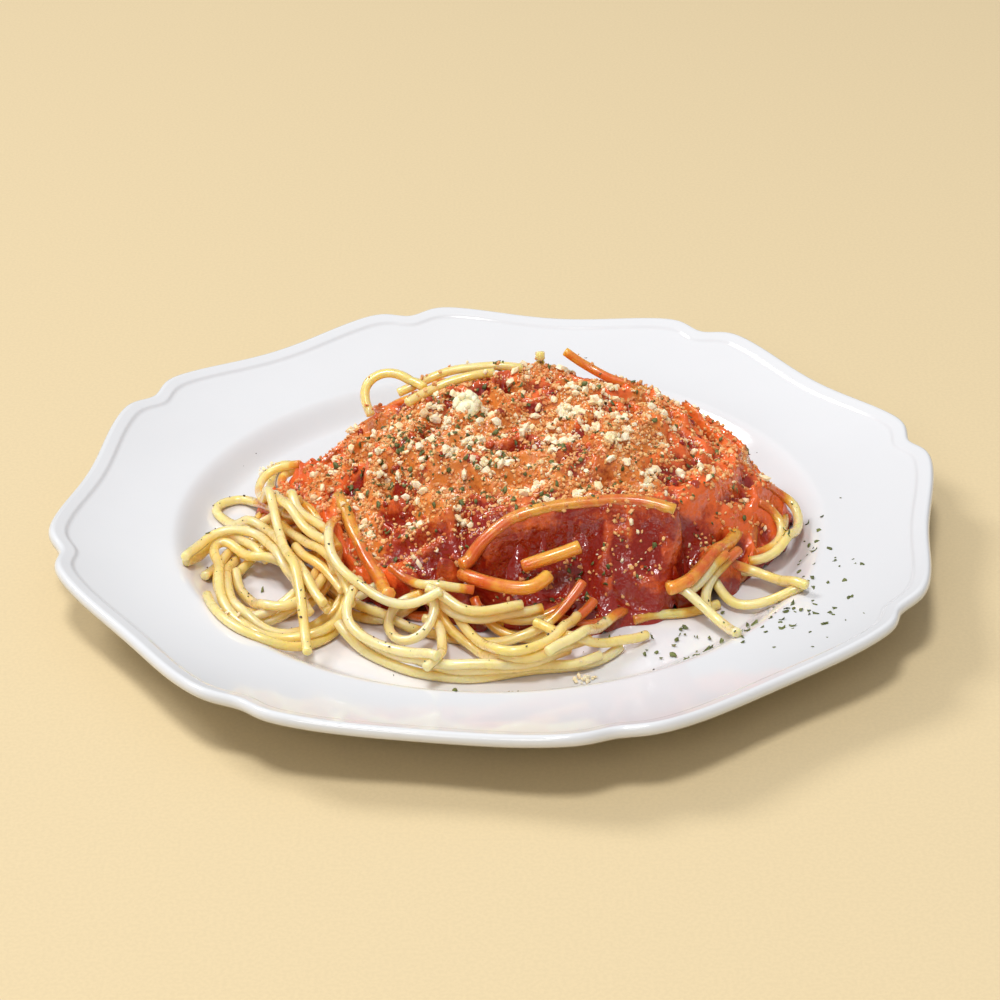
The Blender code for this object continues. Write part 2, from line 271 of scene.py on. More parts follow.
def dome(x, y, shape, height, fullness, roundness):
    """A dome over an uneven outline: its height falls as the share of the way out, to a power.

    The outline's bulges fade towards the middle, the dome is fuller to the right, and it sinks to the left.
    """
    angle, out = heap_polar(x, y)
    radius = shape[0]
    uneven = outline(angle, shape) - radius
    share = np.clip(out / (radius + uneven * np.clip(out / radius, 0, 1) ** 2), 0, 1)
    power = fullness * (1 + 0.18 * np.sin(angle) + 0.5 * bell(angle, np.radians(50)))
    leftward = bell(angle - np.radians(205), np.radians(48))
    sink = 1 - 0.6 * leftward * np.clip((share - 0.25) / 0.75, 0, 1) ** 1.2
    return height * (1 - share**power) ** roundness * sink


def flange_height(radius):
    """The flange rises from the crest, ever more steeply."""
    run = radius - CREST_RADIUS
    return CREST_HEIGHT + 0.073 * run + 0.0045 * run**2


def plate_height(radius):
    """Upper side of the plate: the well's floor eases up its wall into the flange."""
    rise = ramp(radius, WELL_RADIUS, WELL_RADIUS + WALL_WIDTH)
    return WELL_FLOOR + (flange_height(np.maximum(radius, 90.0)) - WELL_FLOOR) * rise


def blurred(field, sigma):
    """The field smoothed by a Gaussian of this spread in mm, as a product of their spectra."""
    pad = int(3 * sigma / CELL) + 1
    wide = np.pad(field, pad, mode="edge")
    fy = np.fft.fftfreq(wide.shape[0], CELL)[:, None]
    fx = np.fft.rfftfreq(wide.shape[1], CELL)
    spectrum = np.fft.rfft2(wide) * np.exp(-2 * (np.pi * sigma) ** 2 * (fx**2 + fy**2))
    return np.fft.irfft2(spectrum, wide.shape)[pad:-pad, pad:-pad]


GRID_X = np.arange(X_LOW, X_HIGH + CELL / 2, CELL)
GRID_Y = np.arange(Y_LOW, Y_HIGH + CELL / 2, CELL)
XX, YY = np.meshgrid(GRID_X, GRID_Y)


def sampled(field, x, y):
    """The grid's field read between its points, bilinearly."""
    column = np.clip((x - X_LOW) / CELL, 0, len(GRID_X) - 1.001)
    row = np.clip((y - Y_LOW) / CELL, 0, len(GRID_Y) - 1.001)
    i, j = row.astype(int), column.astype(int)
    v, u = row - i, column - j
    low = field[i, j] * (1 - u) + field[i, j + 1] * u
    high = field[i + 1, j] * (1 - u) + field[i + 1, j + 1] * u
    return low * (1 - v) + high * v


class HeightMap:
    """Height of everything laid so far. A strand is a ball carried along its path."""

    def __init__(self, height, radius):
        self.height = height.copy()
        n = int(np.ceil(radius / CELL))
        row, column = np.meshgrid(np.arange(-n, n + 1), np.arange(-n, n + 1), indexing="ij")
        gap = np.hypot(row, column) * CELL
        near = gap < radius * 0.98
        self.row, self.column = row[near], column[near]
        self.rise = np.sqrt(radius**2 - gap[near] ** 2)

    def under_ball(self, x, y):
        """Grid cells below the ball at each point of a path."""
        i = np.clip(np.rint((y - Y_LOW) / CELL).astype(int), 4, len(GRID_Y) - 5)
        j = np.clip(np.rint((x - X_LOW) / CELL).astype(int), 4, len(GRID_X) - 5)
        return i[:, None] + self.row, j[:, None] + self.column

    def support(self, x, y):
        """Lowest height at which the ball clears all that lies below it."""
        return (self.height[self.under_ball(x, y)] + self.rise).max(axis=1)

    def add(self, path):
        """Raise the map to the ball's top all along the path."""
        np.maximum.at(self.height, self.under_ball(path[:, 0], path[:, 1]), path[:, 2:] + self.rise)


# ---- strands ----


def smoothed(values, sigma):
    """Gaussian smoothing along a path, with its ends continued by point reflection."""
    n = int(np.ceil(3 * sigma))
    kernel = np.exp(-0.5 * (np.arange(-n, n + 1) / sigma) ** 2)
    kernel /= kernel.sum()
    flat = values.reshape(len(values), -1)
    before, after = 2 * flat[:1] - flat[n:0:-1], 2 * flat[-1:] - flat[-2 : -n - 2 : -1]
    wide = np.concatenate([before, flat, after])
    return np.stack([np.convolve(c, kernel, "valid") for c in wide.T], axis=1).reshape(values.shape)


def draped(support, sag):
    """Height of a limp strand over its supports: it spans gaps in parabolas no sharper than sag."""
    step = np.arange(-28, 29)
    drop = sag * step**2
    index = np.arange(len(support))[:, None] + step
    inside = (index >= 0) & (index < len(support))
    index = np.clip(index, 0, len(support) - 1)
    arch = np.where(inside, support[index] - drop, -1e3).max(axis=1)
    return np.where(inside, arch[index] + drop, 1e3).min(axis=1)


def even_steps(points, step=1.0):
    """The path resampled so that its points are an equal step apart, seen from above."""
    run = np.concatenate([[0], np.cumsum(np.hypot(*np.diff(points[:, :2], axis=0).T))])
    at = np.linspace(0, run[-1], max(12, int(round(run[-1] / step))) + 1)
    return np.stack([np.interp(at, run, column) for column in points.T], axis=1)


def curve(points):
    """Smooth curve through a few points: a cubic for each span, its slopes taken from the neighbours."""
    p = np.asarray(points, float)
    p = np.concatenate([2 * p[:1] - p[1:2], p, 2 * p[-1:] - p[-2:-1]])
    t = np.linspace(0, 1, 24, endpoint=False)[:, None]
    a, b, c, d = p[:-3, None], p[1:-2, None], p[2:-1, None], p[3:, None]
    spans = 2 * b + (c - a) * t + (2 * a - 5 * b + 4 * c - d) * t**2 + (3 * b - a - 3 * c + d) * t**3
    return even_steps(np.concatenate([0.5 * spans.reshape(-1, p.shape[1]), p[-2:-1]]))


def lay(heap, flat_path, sag=0.03, lift=0.0):
    """Centre line of a strand let down on the heap along a path seen from above.

    A path with a third column is stiff: that column is a height that the strand doesn't sink below.
    """
    path = even_steps(smoothed(flat_path, 3.0))
    support = heap.support(path[:, 0], path[:, 1]) + lift
    z = smoothed(draped(support, sag), 2.0)
    z = smoothed(np.maximum(z, support - 0.3), 1.6)
    if path.shape[1] == 3:
        z = np.maximum(z, path[:, 2])
    return np.column_stack([path[:, :2], z])


def wound_path(rng, low, high, looped):
    """A strand wound round the heap: its angle and its share of the way out sway as it goes."""
    t = np.linspace(0, 1, 80)

    def sway(slow, fast):
        return np.sin(2 * np.pi * (rng.uniform(slow, fast) * t + rng.uniform()))

    angle = rng.uniform(0, 2 * np.pi) + rng.uniform(1.2, 3.6) * rng.choice([-1, 1]) * t
    angle = angle + rng.uniform(0.05, 0.25) * sway(0.5, 2)
    share = np.sqrt(rng.uniform(low**2, high**2)) + rng.uniform(0.03, 0.16) * sway(0.4, 1.3)
    share = np.minimum(share + rng.uniform(0.02, 0.06) * sway(2, 4), 1.0)
    path = around_heap(angle, outline(angle, WOUND_OUTLINE) * share).T
    if looped:
        turn = 2 * np.pi * (rng.uniform(1.5, 3) * rng.choice([-1, 1]) * t + rng.uniform())
        path = path + rng.uniform(6, 12) * np.column_stack([np.cos(turn), np.sin(turn)])
    return even_steps(smoothed(even_steps(path), 4.0))[:290]


def coiled_path(rng):
    """A strand coiled in the loose nest: an oval whose size sways as it goes round."""
    t = np.linspace(0, 1, 80)
    turn = rng.uniform(0, 2 * np.pi) + rng.uniform(3, 7) * rng.choice([-1, 1]) * t
    middle, depth = rng.uniform(0.55, 0.95), rng.uniform(0.02, 0.1)
    share = middle + depth * np.sin(2 * np.pi * (rng.uniform(0.5, 1.2) * t + rng.uniform()))
    oval = np.column_stack([24 * np.cos(turn), 30 * np.sin(turn)]) * share[:, None]
    return even_steps(NEST_CENTRE + rng.uniform(-3, 3, 2) + oval)[:290]


def pasta_dome(x, y, lowered=0.0):
    """Height that the heap of pasta is filled to, less an even depth, and never below the well's floor."""
    return WELL_FLOOR + np.maximum(dome(x, y, HEAP_OUTLINE, HEAP_HEIGHT, 2.35, 1.05) - lowered, 0)


def bedding(heap, count, seed):
    """Strands that fill the heap: of a few tries each, the one that best fills what is still hollow."""
    rng = np.random.default_rng(seed)
    full = pasta_dome(XX, YY)
    strands = []
    for k in range(count):
        tries = []
        for _ in range(8):
            low, high = (0.05, 0.8) if k < 0.45 * count else (0.3, 0.94)
            path = lay(heap, wound_path(rng, low, high, k % 4 == 1))
            over = path[:, 2] + 1.5 - sampled(full, path[:, 0], path[:, 1])
            tries.append((np.mean(np.maximum(over, -8)) + 5 * np.mean(np.maximum(over, 0)), path))
        path = min(tries, key=lambda one: one[0])[1]
        heap.add(path)
        strands.append(path)
    return strands


@lru_cache(maxsize=None)
def laid_pasta(radius, count, seed):
    """Every strand in the order it was laid, in named groups, and the height map that they leave."""
    ground = np.maximum(plate_height(np.hypot(XX, YY)), pasta_dome(XX, YY, CORE_DEPTH))
    heap = HeightMap(ground, radius)
    groups = {"wound": bedding(heap, count, seed), "nest": [], "front": []}
    rng = np.random.default_rng(seed + 1)
    for _ in range(4):
        path = lay(heap, coiled_path(rng))
        heap.add(path)
        groups["nest"].append(path)
    for group, placed in (("nest", PLACED_NEST), ("front", PLACED_FRONT)):
        for points in placed:
            path = lay(heap, curve(points))
            heap.add(path)
            groups[group].append(path)
    return heap, groups


# ---- sauce ----


def sauce_inset(x, y):
    """Distance inside the sauce's edge, measured towards the heap's centre."""
    angle, out = heap_polar(x, y)
    ragged = 1.2 * np.sin(9 * angle + 1) + 0.8 * np.sin(17 * angle) + 0.5 * np.sin(31 * angle + 2)
    return outline(angle, SAUCE_OUTLINE) + ragged - out


def domes(x, y, places, radii, heights):
    """Grid of the highest of many small round domes.

    A dome is its height times the root of one less the distance squared.
    """

    def cells(middle, radius, low, count):
        ends = (np.array((middle - radius, middle + radius)) - low) / CELL + (0, 2)
        return slice(*np.clip(ends.astype(int), 0, count))

    field = np.zeros_like(x)
    for (px, py), radius, height in zip(places, radii, heights):
        i = cells(py, radius, Y_LOW, x.shape[0])
        j = cells(px, radius, X_LOW, x.shape[1])
        share = ((x[i, j] - px) ** 2 + (y[i, j] - py) ** 2) / radius**2
        field[i, j] = np.maximum(field[i, j], height * np.sqrt(np.clip(1 - share, 0, 1)))
    return field


def before_arch(x, y):
    """Distance towards the viewer from the arch's line; it is negative behind the arch."""
    return np.interp(x, *np.array(ARCH, float).T[:2]) - y


def hollow(x, y):
    """Depth of the hollows in the sauce: smooth oval bowls, and the step down in front of the arch."""
    depth = 0 * x
    for px, py, rx, ry, deep in SAUCE_HOLLOWS:
        depth = depth + deep * np.exp(-(((x - px) / rx) ** 2 + ((y - py) / ry) ** 2))
    front = before_arch(x, y)
    across = ramp(x, -10, -5) * (1 - ramp(x, 22, 32))
    return depth + RECESS * ramp(front, 0.8, 3.2) * (1 - ramp(front, 9, 16)) * across


def under_arch(x, y):
    """Greatest height of the sauce near the arch.

    It is just below the arch, falls away in front of it, and rises behind it and past either end.
    """
    along, _, up = np.array(ARCH, float).T
    front = before_arch(x, y)
    past = np.maximum(along[0] - x, 0) + np.maximum(x - along[-1], 0)
    behind = 0.6 * np.maximum(-front - 1.5, 0)
    return np.interp(x, along, up) - 0.5 + behind - 1.3 * np.maximum(front, 0) + 3 * past


def uncovered(inset, depth):
    """Where a strand that rises above the sauce is left showing: near its edge, and outside it."""
    return ((inset < 6) & (depth < 0.6)) | (inset < 1)


def cheese_weight(inset):
    """Where the cheese fell: over the top of the sauce, in drifts, and hardly on its front slope."""
    on_top = ramp(YY - 0.9 * np.maximum(XX - 40, 0), -42, -28) * ramp(inset, 2, 12)
    on_top = on_top * np.clip(1 - 0.4 * hollow(XX, YY), 0, 1)
    drifts = 0.75 + 0.35 * waves(XX, YY, 26, 3)
    sides = 1 - 0.65 * ramp(XX, 36, 60) - 0.35 * ramp(-XX, 30, 50)
    return np.clip(on_top * drifts * sides + 0.12 * ramp(inset, 1, 6), 0, 1.3)


def rope_path(rng):
    """A thick run just under the sauce: part of a turn round the heap, with a bend in it."""
    path = wound_path(rng, 0.15, 0.85, False)
    start = rng.integers(0, max(1, len(path) - 90))
    return path[start : start + rng.integers(35, 90)]


def round_lumps(rng):
    """Two grids of round lumps of mince, broad and small, spread evenly within the sauce's outline."""
    count = BROAD_LUMPS + SMALL_LUMPS
    angle, share = rng.uniform(0, 2 * np.pi, count), np.sqrt(rng.uniform(0.0, 1, count))
    places = around_heap(angle, outline(angle, SAUCE_OUTLINE) * share - 3).T
    radii, heights = rng.uniform(3.5, 7.0, BROAD_LUMPS), rng.uniform(0.8, 2.4, BROAD_LUMPS)
    broad = domes(XX, YY, places[:BROAD_LUMPS], radii, heights)
    radii, heights = rng.uniform(1.2, 3.0, SMALL_LUMPS), rng.uniform(0.5, 1.6, SMALL_LUMPS)
    return broad, domes(XX, YY, places[BROAD_LUMPS:], radii, heights)


def thick_runs(below, rng):
    """The field below, raised by thick runs of sauce: round the heap, behind the arch and below its end."""
    ground, ropes = HeightMap(below, ROPE_RADIUS), HeightMap(below, ROPE_RADIUS)
    for _ in range(ROPES):
        ropes.add(lay(ground, rope_path(rng), lift=-1.4))
    for behind in (0.5, 3.5, 6.5):
        ropes.add(curve(ARCH[1:]) + (0, behind, -1.5))
    for below_end in (2.5, 5, 7.5, 10):
        ropes.add(curve(ARCH[-5:]) + (-0.5 * below_end, -below_end, -1.0 - 1.7 * below_end))
    return ropes.height


def banked(top, inset):
    """The sauce turned down at its edge: a smooth minimum of its top and a steep bank."""
    bank = WELL_FLOOR + 0.6 + BANK * inset
    share = np.clip(0.5 + (bank - top) / 8, 0, 1)
    return bank + (top - bank) * share - 4 * share * (1 - share)


def sauce_top(pasta_height, inset, seed, thickness):
    """The sauce's upper side on the grid, before any strand is laid on it.

    It follows a blur of the strands below, raised by its thickness, over thick runs and round lumps of
    mince, and the strands come out through its bank. Grains are a field of waves that keeps only its
    crests.
    """
    rng = np.random.default_rng(seed + 5)
    below = 0.45 * blurred(pasta_height, 1.6) + 0.55 * blurred(pasta_height, 4.0)
    broad, small = round_lumps(rng)
    runs = thick_runs(below, rng)
    cheesy = ramp(cheese_weight(inset), 0.1, 0.5)
    uneven = 0.7 * waves(XX, YY, 19, seed) + 0.6 * waves(XX, YY, 8, seed + 1) - 2.0 * ramp(YY, 5, 35)
    uneven = uneven + 0.9 * waves(XX, YY, 10, seed + 4) * (1 - cheesy)
    body = runs + thickness - 3.6 + uneven + broad + small
    lumpy = 1.2 * waves(XX, YY, 9, seed + 7) + 1.5 * broad + 1.2 * small - 2.6
    cap = under_arch(XX, YY) + lumpy * ramp(before_arch(XX, YY), 0.5, 5)
    cap = np.where(inset > 1, cap, 99.0)
    pasta = np.minimum(pasta_height, cap)
    pressed = hollow(XX, YY)
    top = banked(blurred(np.minimum(np.maximum(body, pasta + 0.5), cap), 0.8) - pressed, inset)
    top = np.maximum(top, blurred(pasta, 0.6) + 0.4 - 6 * (1 - ramp(inset, 0, 5)) - pressed)
    grains = np.maximum(waves(XX, YY, 1.9, seed + 2), 0) + 0.8 * np.maximum(waves(XX, YY, 2.9, seed + 3), 0)
    return top + (0.06 + 0.2 * cheesy) * grains * ramp(inset, 1, 6)


@lru_cache(maxsize=None)
def sauced(radius, count, seed, thickness):
    """The sauce's upper side on the grid, the strands laid on it, and the height map of all of it.

    Sauce clings to a coated strand where it comes within 2 mm of the sauce's top.
    """
    pasta_height = laid_pasta(radius, count, seed)[0].height
    inset = sauce_inset(XX, YY)
    top = sauce_top(pasta_height, inset, seed, thickness)
    shown = uncovered(inset, hollow(XX, YY))
    surface = np.where(shown, np.maximum(pasta_height, np.where(inset > 0, top, 0)), top)
    heap = HeightMap(surface, radius)
    cling = HeightMap(top, 1.25 * radius + 0.8)
    later = {"coated": [], "back": []}
    for name, placed in (("coated", (*PLACED_COATED, RAISED_END, ARCH)), ("back", PLACED_BACK)):
        for points in placed:
            held = name == "coated" and len(points[0]) == 3
            path = lay(heap, curve(points), lift=-HELD_SINK if held else -LAID_SINK)
            heap.add(path)
            later[name].append(path)
            near = path[:, 2] - sampled(top, path[:, 0], path[:, 1]) < 2
            if name == "coated" and near.any():
                cling.add(path[near] - (0, 0, 1.5))
    top = np.maximum(top, blurred(cling.height, 0.5) + 0.5 * waves(XX, YY, 4.5, seed + 6) - 0.3)
    top = np.maximum(top, WELL_FLOOR + 0.4)
    heap.height = np.maximum(heap.height, top)
    return top, inset, later, heap


# ---- meshes ----


def add_piece(name, points, quads, triangles, material, slot, replaces=(), smooth=True, **attributes):
    """A mesh object from arrays of points in mm and of faces; attributes are one number for each point."""
    mesh = bpy.data.meshes.new(name)
    corners = np.concatenate([quads.ravel(), triangles.ravel()]).astype(np.int32)
    starts = np.concatenate([4 * np.arange(len(quads)), 4 * len(quads) + 3 * np.arange(len(triangles))])
    mesh.vertices.add(len(points))
    mesh.vertices.foreach_set("co", (np.asarray(points) * MM).astype(np.float32).ravel())
    mesh.loops.add(len(corners))
    mesh.loops.foreach_set("vertex_index", corners)
    mesh.polygons.add(len(starts))
    mesh.polygons.foreach_set("loop_start", starts.astype(np.int32))
    mesh.update(calc_edges=True)
    if mesh.validate():
        raise RuntimeError(name + " has faces that a mesh can't hold")
    if smooth:
        mesh.shade_smooth()
    else:
        mesh.shade_flat()
    for key, values in attributes.items():
        mesh.attributes.new(key, "FLOAT", "POINT").data.foreach_set("value", np.asarray(values, np.float32))
    mesh.materials.append(material)
    piece = bpy.data.objects.new(name, mesh)
    bpy.context.scene.collection.objects.link(piece)
    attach(piece, "root")
    if replaces:
        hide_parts(*replaces)
    return piece


def loft(rings):
    """Points and faces of a closed loft from an array of rings by columns by 3, a pole at either end.

    The first ring's middle and the last ring's are the poles. Rings run up and columns anticlockwise.
    """
    count, columns = rings.shape[:2]
    first, last_pole = rings[0].mean(axis=0), rings[-1].mean(axis=0)
    points = np.concatenate([first[None], rings.reshape(-1, 3), last_pole[None]])
    c = np.arange(columns)
    n = (c + 1) % columns
    base = 1 + columns * np.arange(count - 1)[:, None]
    quads = np.stack([base + c, base + n, base + columns + n, base + columns + c], axis=-1).reshape(-1, 4)
    last = 1 + (count - 1) * columns
    triangles = np.concatenate([
        np.stack([0 * c, 1 + n, 1 + c], axis=-1),
        np.stack([last + c, last + n, 0 * c + len(points) - 1], axis=-1),
    ])
    return points, quads, triangles


def joined(parts):
    """Several (points, quads, triangles) as one."""
    offset = np.cumsum([0] + [len(part[0]) for part in parts[:-1]])
    return (
        np.concatenate([part[0] for part in parts]),
        np.concatenate([part[1] + o for part, o in zip(parts, offset)]),
        np.concatenate([part[2] + o for part, o in zip(parts, offset)]),
    )


def tube(path, radius, sides=8, spacing=1.5):
    """A strand's skin: a circle carried along its centre line, closed by a short rounded end.

    The circle stands across the line, and its own sideways axis stays level. A path's fourth column is
    how much sauce is on it, which is returned for each point of the skin.
    """
    run = np.concatenate([[0], np.cumsum(np.linalg.norm(np.diff(path[:, :3], axis=0), axis=1))])
    at = np.linspace(0, run[-1], max(4, int(round(run[-1] / spacing))) + 1)
    line = np.stack([np.interp(at, run, column) for column in path.T], axis=1)
    line, coat = line[:, :3], line[:, 3]
    along = np.gradient(line, axis=0)
    along /= np.linalg.norm(along, axis=1)[:, None]
    across = np.cross(along, (0, 0, 1.0))
    across /= np.linalg.norm(across, axis=1)[:, None] + 1e-9
    upward = np.cross(across, along)
    pick = np.r_[0, 0, np.arange(len(line)), -1, -1]
    scale = np.ones(len(pick))
    scale[:3], scale[-3:] = (0.55, 0.88, 1.0), (1.0, 0.88, 0.55)
    shift = np.zeros(len(pick))
    shift[:3], shift[-3:] = (-0.24, -0.16, 0.0), (0.0, 0.16, 0.24)
    turn = 2 * np.pi * np.arange(sides) / sides
    circle = np.cos(turn)[:, None] * across[pick, None] - np.sin(turn)[:, None] * upward[pick, None]
    middle = line[pick] + radius * shift[:, None] * along[pick]
    rings = middle[:, None] + radius * scale[:, None, None] * circle
    coats = np.concatenate([coat[:1], np.repeat(coat[pick], sides), coat[-1:]])
    return loft(rings), coats


def seen_runs(path, seen, shortest=6):
    """The unbroken stretches of a path that can be seen."""
    edges = np.flatnonzero(np.diff(np.concatenate([[0], seen.astype(int), [0]])))
    return [path[a:b] for a, b in zip(edges[::2], edges[1::2]) if b - a >= shortest]


def plate_surface(edge_radius, thickness, lip_raise):
    """The plate as a loft: its section runs from the foot round the edge to the middle of the well.

    The section's radius is a share of the way from the well's crest to the bracket edge, whose reach is
    a circle's plus a raised cosine for each shoulder and a sharp dip for each corner's notch.
    """
    sector = 2 * np.pi / CORNERS
    half = np.linspace(0, 1, 25) ** 1.35 * sector / 2
    one = np.concatenate([-half[:0:-1], half[:-1]])
    angle = (np.arange(CORNERS)[:, None] * sector + one + FIRST_CORNER).ravel()
    off = np.tile(one, CORNERS)
    edge = edge_radius + SHOULDER_RISE * (1 + np.cos(CORNERS * off)) / 2
    edge = edge - NOTCH_DEPTH * np.exp(-((off / NOTCH_WIDTH) ** 2))

    def ring(radius, height):
        radius = radius + 0 * angle
        return np.stack([radius * np.cos(angle), radius * np.sin(angle), height + 0 * angle], axis=1)

    def lip(radius):
        return lip_raise * ramp(radius, edge - LIP_WIDTH - 1.1, edge - LIP_WIDTH + 0.3)

    rings = [ring(r, FOOT_HEIGHT) for r in (2.0, 40.0, FOOT_INNER - 2.4)]
    rings += [ring(FOOT_INNER - 1.4, 2.1), ring(FOOT_INNER - 0.6, 0.6), ring(FOOT_INNER + 0.3, 0.0)]
    rings += [ring(FOOT_OUTER - 0.3, 0.0), ring(FOOT_OUTER + 0.6, 0.5), ring(FOOT_OUTER + FOOT_FLARE, 2.0)]
    for t in np.linspace(0.15, 1, 8):
        rise = (2 * t + t * t) / 3
        radius = FOOT_OUTER + FOOT_FLARE + UNDERSIDE_RUN * t
        rings.append(ring(radius, 2.0 + (CREST_HEIGHT - FLANGE_THICKNESS - 2.0) * rise))
    inner = FOOT_OUTER + FOOT_FLARE + UNDERSIDE_RUN
    for t in np.linspace(0.08, 1, 14):
        radius = inner + (edge - EDGE_ROUND - inner) * t
        thin = FLANGE_THICKNESS + (thickness - FLANGE_THICKNESS) * t
        rings.append(ring(radius, flange_height(radius) - thin))
    middle = edge - EDGE_ROUND
    for a in np.radians((-60, -30, 0, 30, 60)):
        half_height = (thickness + lip_raise) / 2 * np.sin(a)
        height = flange_height(middle) + lip_raise / 2 - thickness / 2 + half_height
        rings.append(ring(middle + EDGE_ROUND * np.cos(a), height))
    for inset in (EDGE_ROUND, 2.4, 3.4, 4.3, 4.7, 5.0, 5.3, 5.6, 6.0, 6.6):
        radius = edge - inset
        rings.append(ring(radius, flange_height(radius) + lip(radius)))
    outer = edge - 6.6
    for t in np.linspace(0, 1, 15)[1:]:
        radius = outer + (CREST_RADIUS + 2.5 - outer) * t
        rings.append(ring(radius, flange_height(radius)))
    for radius in np.linspace(CREST_RADIUS + 2.5, WELL_RADIUS - 1, 20)[1:]:
        rings.append(ring(radius, plate_height(radius)))
    rings += [ring(radius, WELL_FLOOR) for radius in (82.0, 60.0, 30.0, 2.0)]
    return loft(np.array(rings))


def sauce_surface(top, thickness):
    """The sauce as a loft on rings that shrink its outline: its upper side over a plain underside."""
    angle = np.linspace(0, 2 * np.pi, 520, endpoint=False)
    reach = np.full(angle.shape, 90.0)
    for _ in range(12):
        reach = reach + sauce_inset(*around_heap(angle, reach))

    def ring(share, sink):
        x, y = around_heap(angle, reach * share)
        return np.stack([x, y, np.maximum(sampled(top, x, y) - sink, WELL_FLOOR - 1)], axis=1)

    shares = np.concatenate([np.linspace(0.01, 0.96, 128), 1 - 0.04 * np.linspace(1, 0, 14)[1:] ** 1.5])
    under = [ring(share, 1.5 + thickness * (1 - share**6)) for share in np.linspace(0.04, 0.995, 14)]
    rim = [ring(1.0, 1.2), ring(1.004, 0.8), ring(1.004, 0.4)]
    return loft(np.array(under + rim + [ring(share, 0.0) for share in shares[::-1]]))


# ---- toppings ----


def rounded_crumb(rng, fine):
    """Points and triangles of one knobbly crumb: a twenty-faced solid with waves on it, split if fine."""
    g = (1 + 5**0.5) / 2
    points = np.array([(-1, g, 0), (1, g, 0), (-1, -g, 0), (1, -g, 0), (0, -1, g), (0, 1, g), (0, -1, -g),
                       (0, 1, -g), (g, 0, -1), (g, 0, 1), (-g, 0, -1), (-g, 0, 1)]) / np.hypot(1, g)
    faces = np.array([(0, 11, 5), (0, 5, 1), (0, 1, 7), (0, 7, 10), (0, 10, 11), (1, 5, 9), (5, 11, 4),
                      (11, 10, 2), (10, 7, 6), (7, 1, 8), (3, 9, 4), (3, 4, 2), (3, 2, 6), (3, 6, 8),
                      (3, 8, 9), (4, 9, 5), (2, 4, 11), (6, 2, 10), (8, 6, 7), (9, 8, 1)])
    if fine:
        sides = np.concatenate([faces[:, (0, 1)], faces[:, (1, 2)], faces[:, (2, 0)]])
        keys, back = np.unique(np.sort(sides, axis=1), axis=0, return_inverse=True)
        between = points[keys].mean(axis=1)
        between /= np.linalg.norm(between, axis=1)[:, None]
        ab, bc, ca = (back.reshape(3, -1) + len(points))
        points = np.concatenate([points, between])
        a, b, c = faces.T
        quarters = ((a, ab, ca), (b, bc, ab), (c, ca, bc), (ab, bc, ca))
        faces = np.concatenate([np.stack(one, axis=1) for one in quarters])
    rate, phase = rng.uniform(1.5, 3.6, (3, 3)), rng.uniform(0, 6, 3)
    swell = 1 + 0.2 * np.sin(points @ rate[0] + phase[0]) + 0.14 * np.sin(points @ rate[1] + phase[1])
    swell = swell + rng.uniform(-0.22, 0.22, len(points)) * (0.35 if fine else 1.0)
    return points * swell[:, None] * rng.uniform(0.62, 1.3, 3), faces


def flake(rng):
    """Points and triangles of one flake of dried leaf: a ragged outline, curled, a hair thick."""
    count = 7
    turn = 2 * np.pi * np.arange(count) / count + rng.uniform(-0.3, 0.3, count)
    reach = rng.uniform(0.55, 1.15, count)
    x, y = reach * np.cos(turn), reach * np.sin(turn) * rng.uniform(0.45, 0.8)
    curl, twist = rng.uniform(-0.5, 0.6), rng.uniform(-0.35, 0.35)
    z = curl * x**2 + twist * x * y
    upper = np.concatenate([np.column_stack([x, y, z]), [(0, 0, 0.05)]]) + (0, 0, 0.05)
    points = np.concatenate([upper, upper - (0, 0, 0.1)])
    c = np.arange(count)
    n = (c + 1) % count
    low = count + 1
    faces = np.concatenate([np.stack(one, axis=1) for one in (
        (c, n, 0 * c + count),
        (low + n, low + c, 0 * c + low + count),
        (low + c, low + n, n),
        (low + c, n, c),
    )])
    return points, faces


def scattered(kinds, rng, places, normals, sizes, sink=0.2):
    """Copies of a few small shapes, each turned at random about the surface's normal and set at its place.

    Returns the joined shapes and a random tone for each copy, repeated for its points.
    """
    spin = rng.uniform(0, 2 * np.pi, len(places))
    tilt = normals + rng.normal(0, 0.25, normals.shape)
    tilt /= np.linalg.norm(tilt, axis=1)[:, None]
    side = np.cross(tilt, np.column_stack([np.cos(spin), np.sin(spin), 0 * spin]))
    side /= np.linalg.norm(side, axis=1)[:, None]
    axes = np.stack([side, np.cross(tilt, side), tilt], axis=1)
    which = rng.integers(0, len(kinds), len(places))
    tones = rng.uniform(0, 1, len(places))
    parts, tone_of_points = [], []
    for k, (points, faces) in enumerate(kinds):
        mine = which == k
        low, high = points[:, 2].min(), points[:, 2].max()
        lifted = points - (0, 0, low + sink * (high - low))
        body = np.einsum("pi,nij->npj", lifted, axes[mine]) * sizes[mine, None, None] + places[mine, None]
        shift = len(points) * np.arange(mine.sum())[:, None, None]
        parts.append((body.reshape(-1, 3), np.zeros((0, 4), int), (faces[None] + shift).reshape(-1, 3)))
        tone_of_points.append(np.repeat(tones[mine], len(points)))
    return joined(parts), np.concatenate(tone_of_points)


def chosen_places(rng, weight, count, surface):
    """Random places on the grid, as likely as their weight, with the surface's height and normal there.

    Nothing rests where the surface drops like a cliff, as beside a raised strand.
    """
    flat = (np.maximum(weight, 0) * (np.hypot(*np.gradient(surface, CELL)) < STEEPEST_REST)).ravel()
    index = rng.choice(flat.size, count, p=flat / flat.sum())
    x = XX.ravel()[index] + rng.uniform(-0.25, 0.25, count)
    y = YY.ravel()[index] + rng.uniform(-0.25, 0.25, count)
    z = sampled(surface, x, y)
    rise_y, rise_x = np.gradient(blurred(surface, 0.6), CELL)
    normal = np.column_stack([-sampled(rise_x, x, y), -sampled(rise_y, x, y), np.ones(count)])
    return np.column_stack([x, y, z]), normal / np.linalg.norm(normal, axis=1)[:, None]


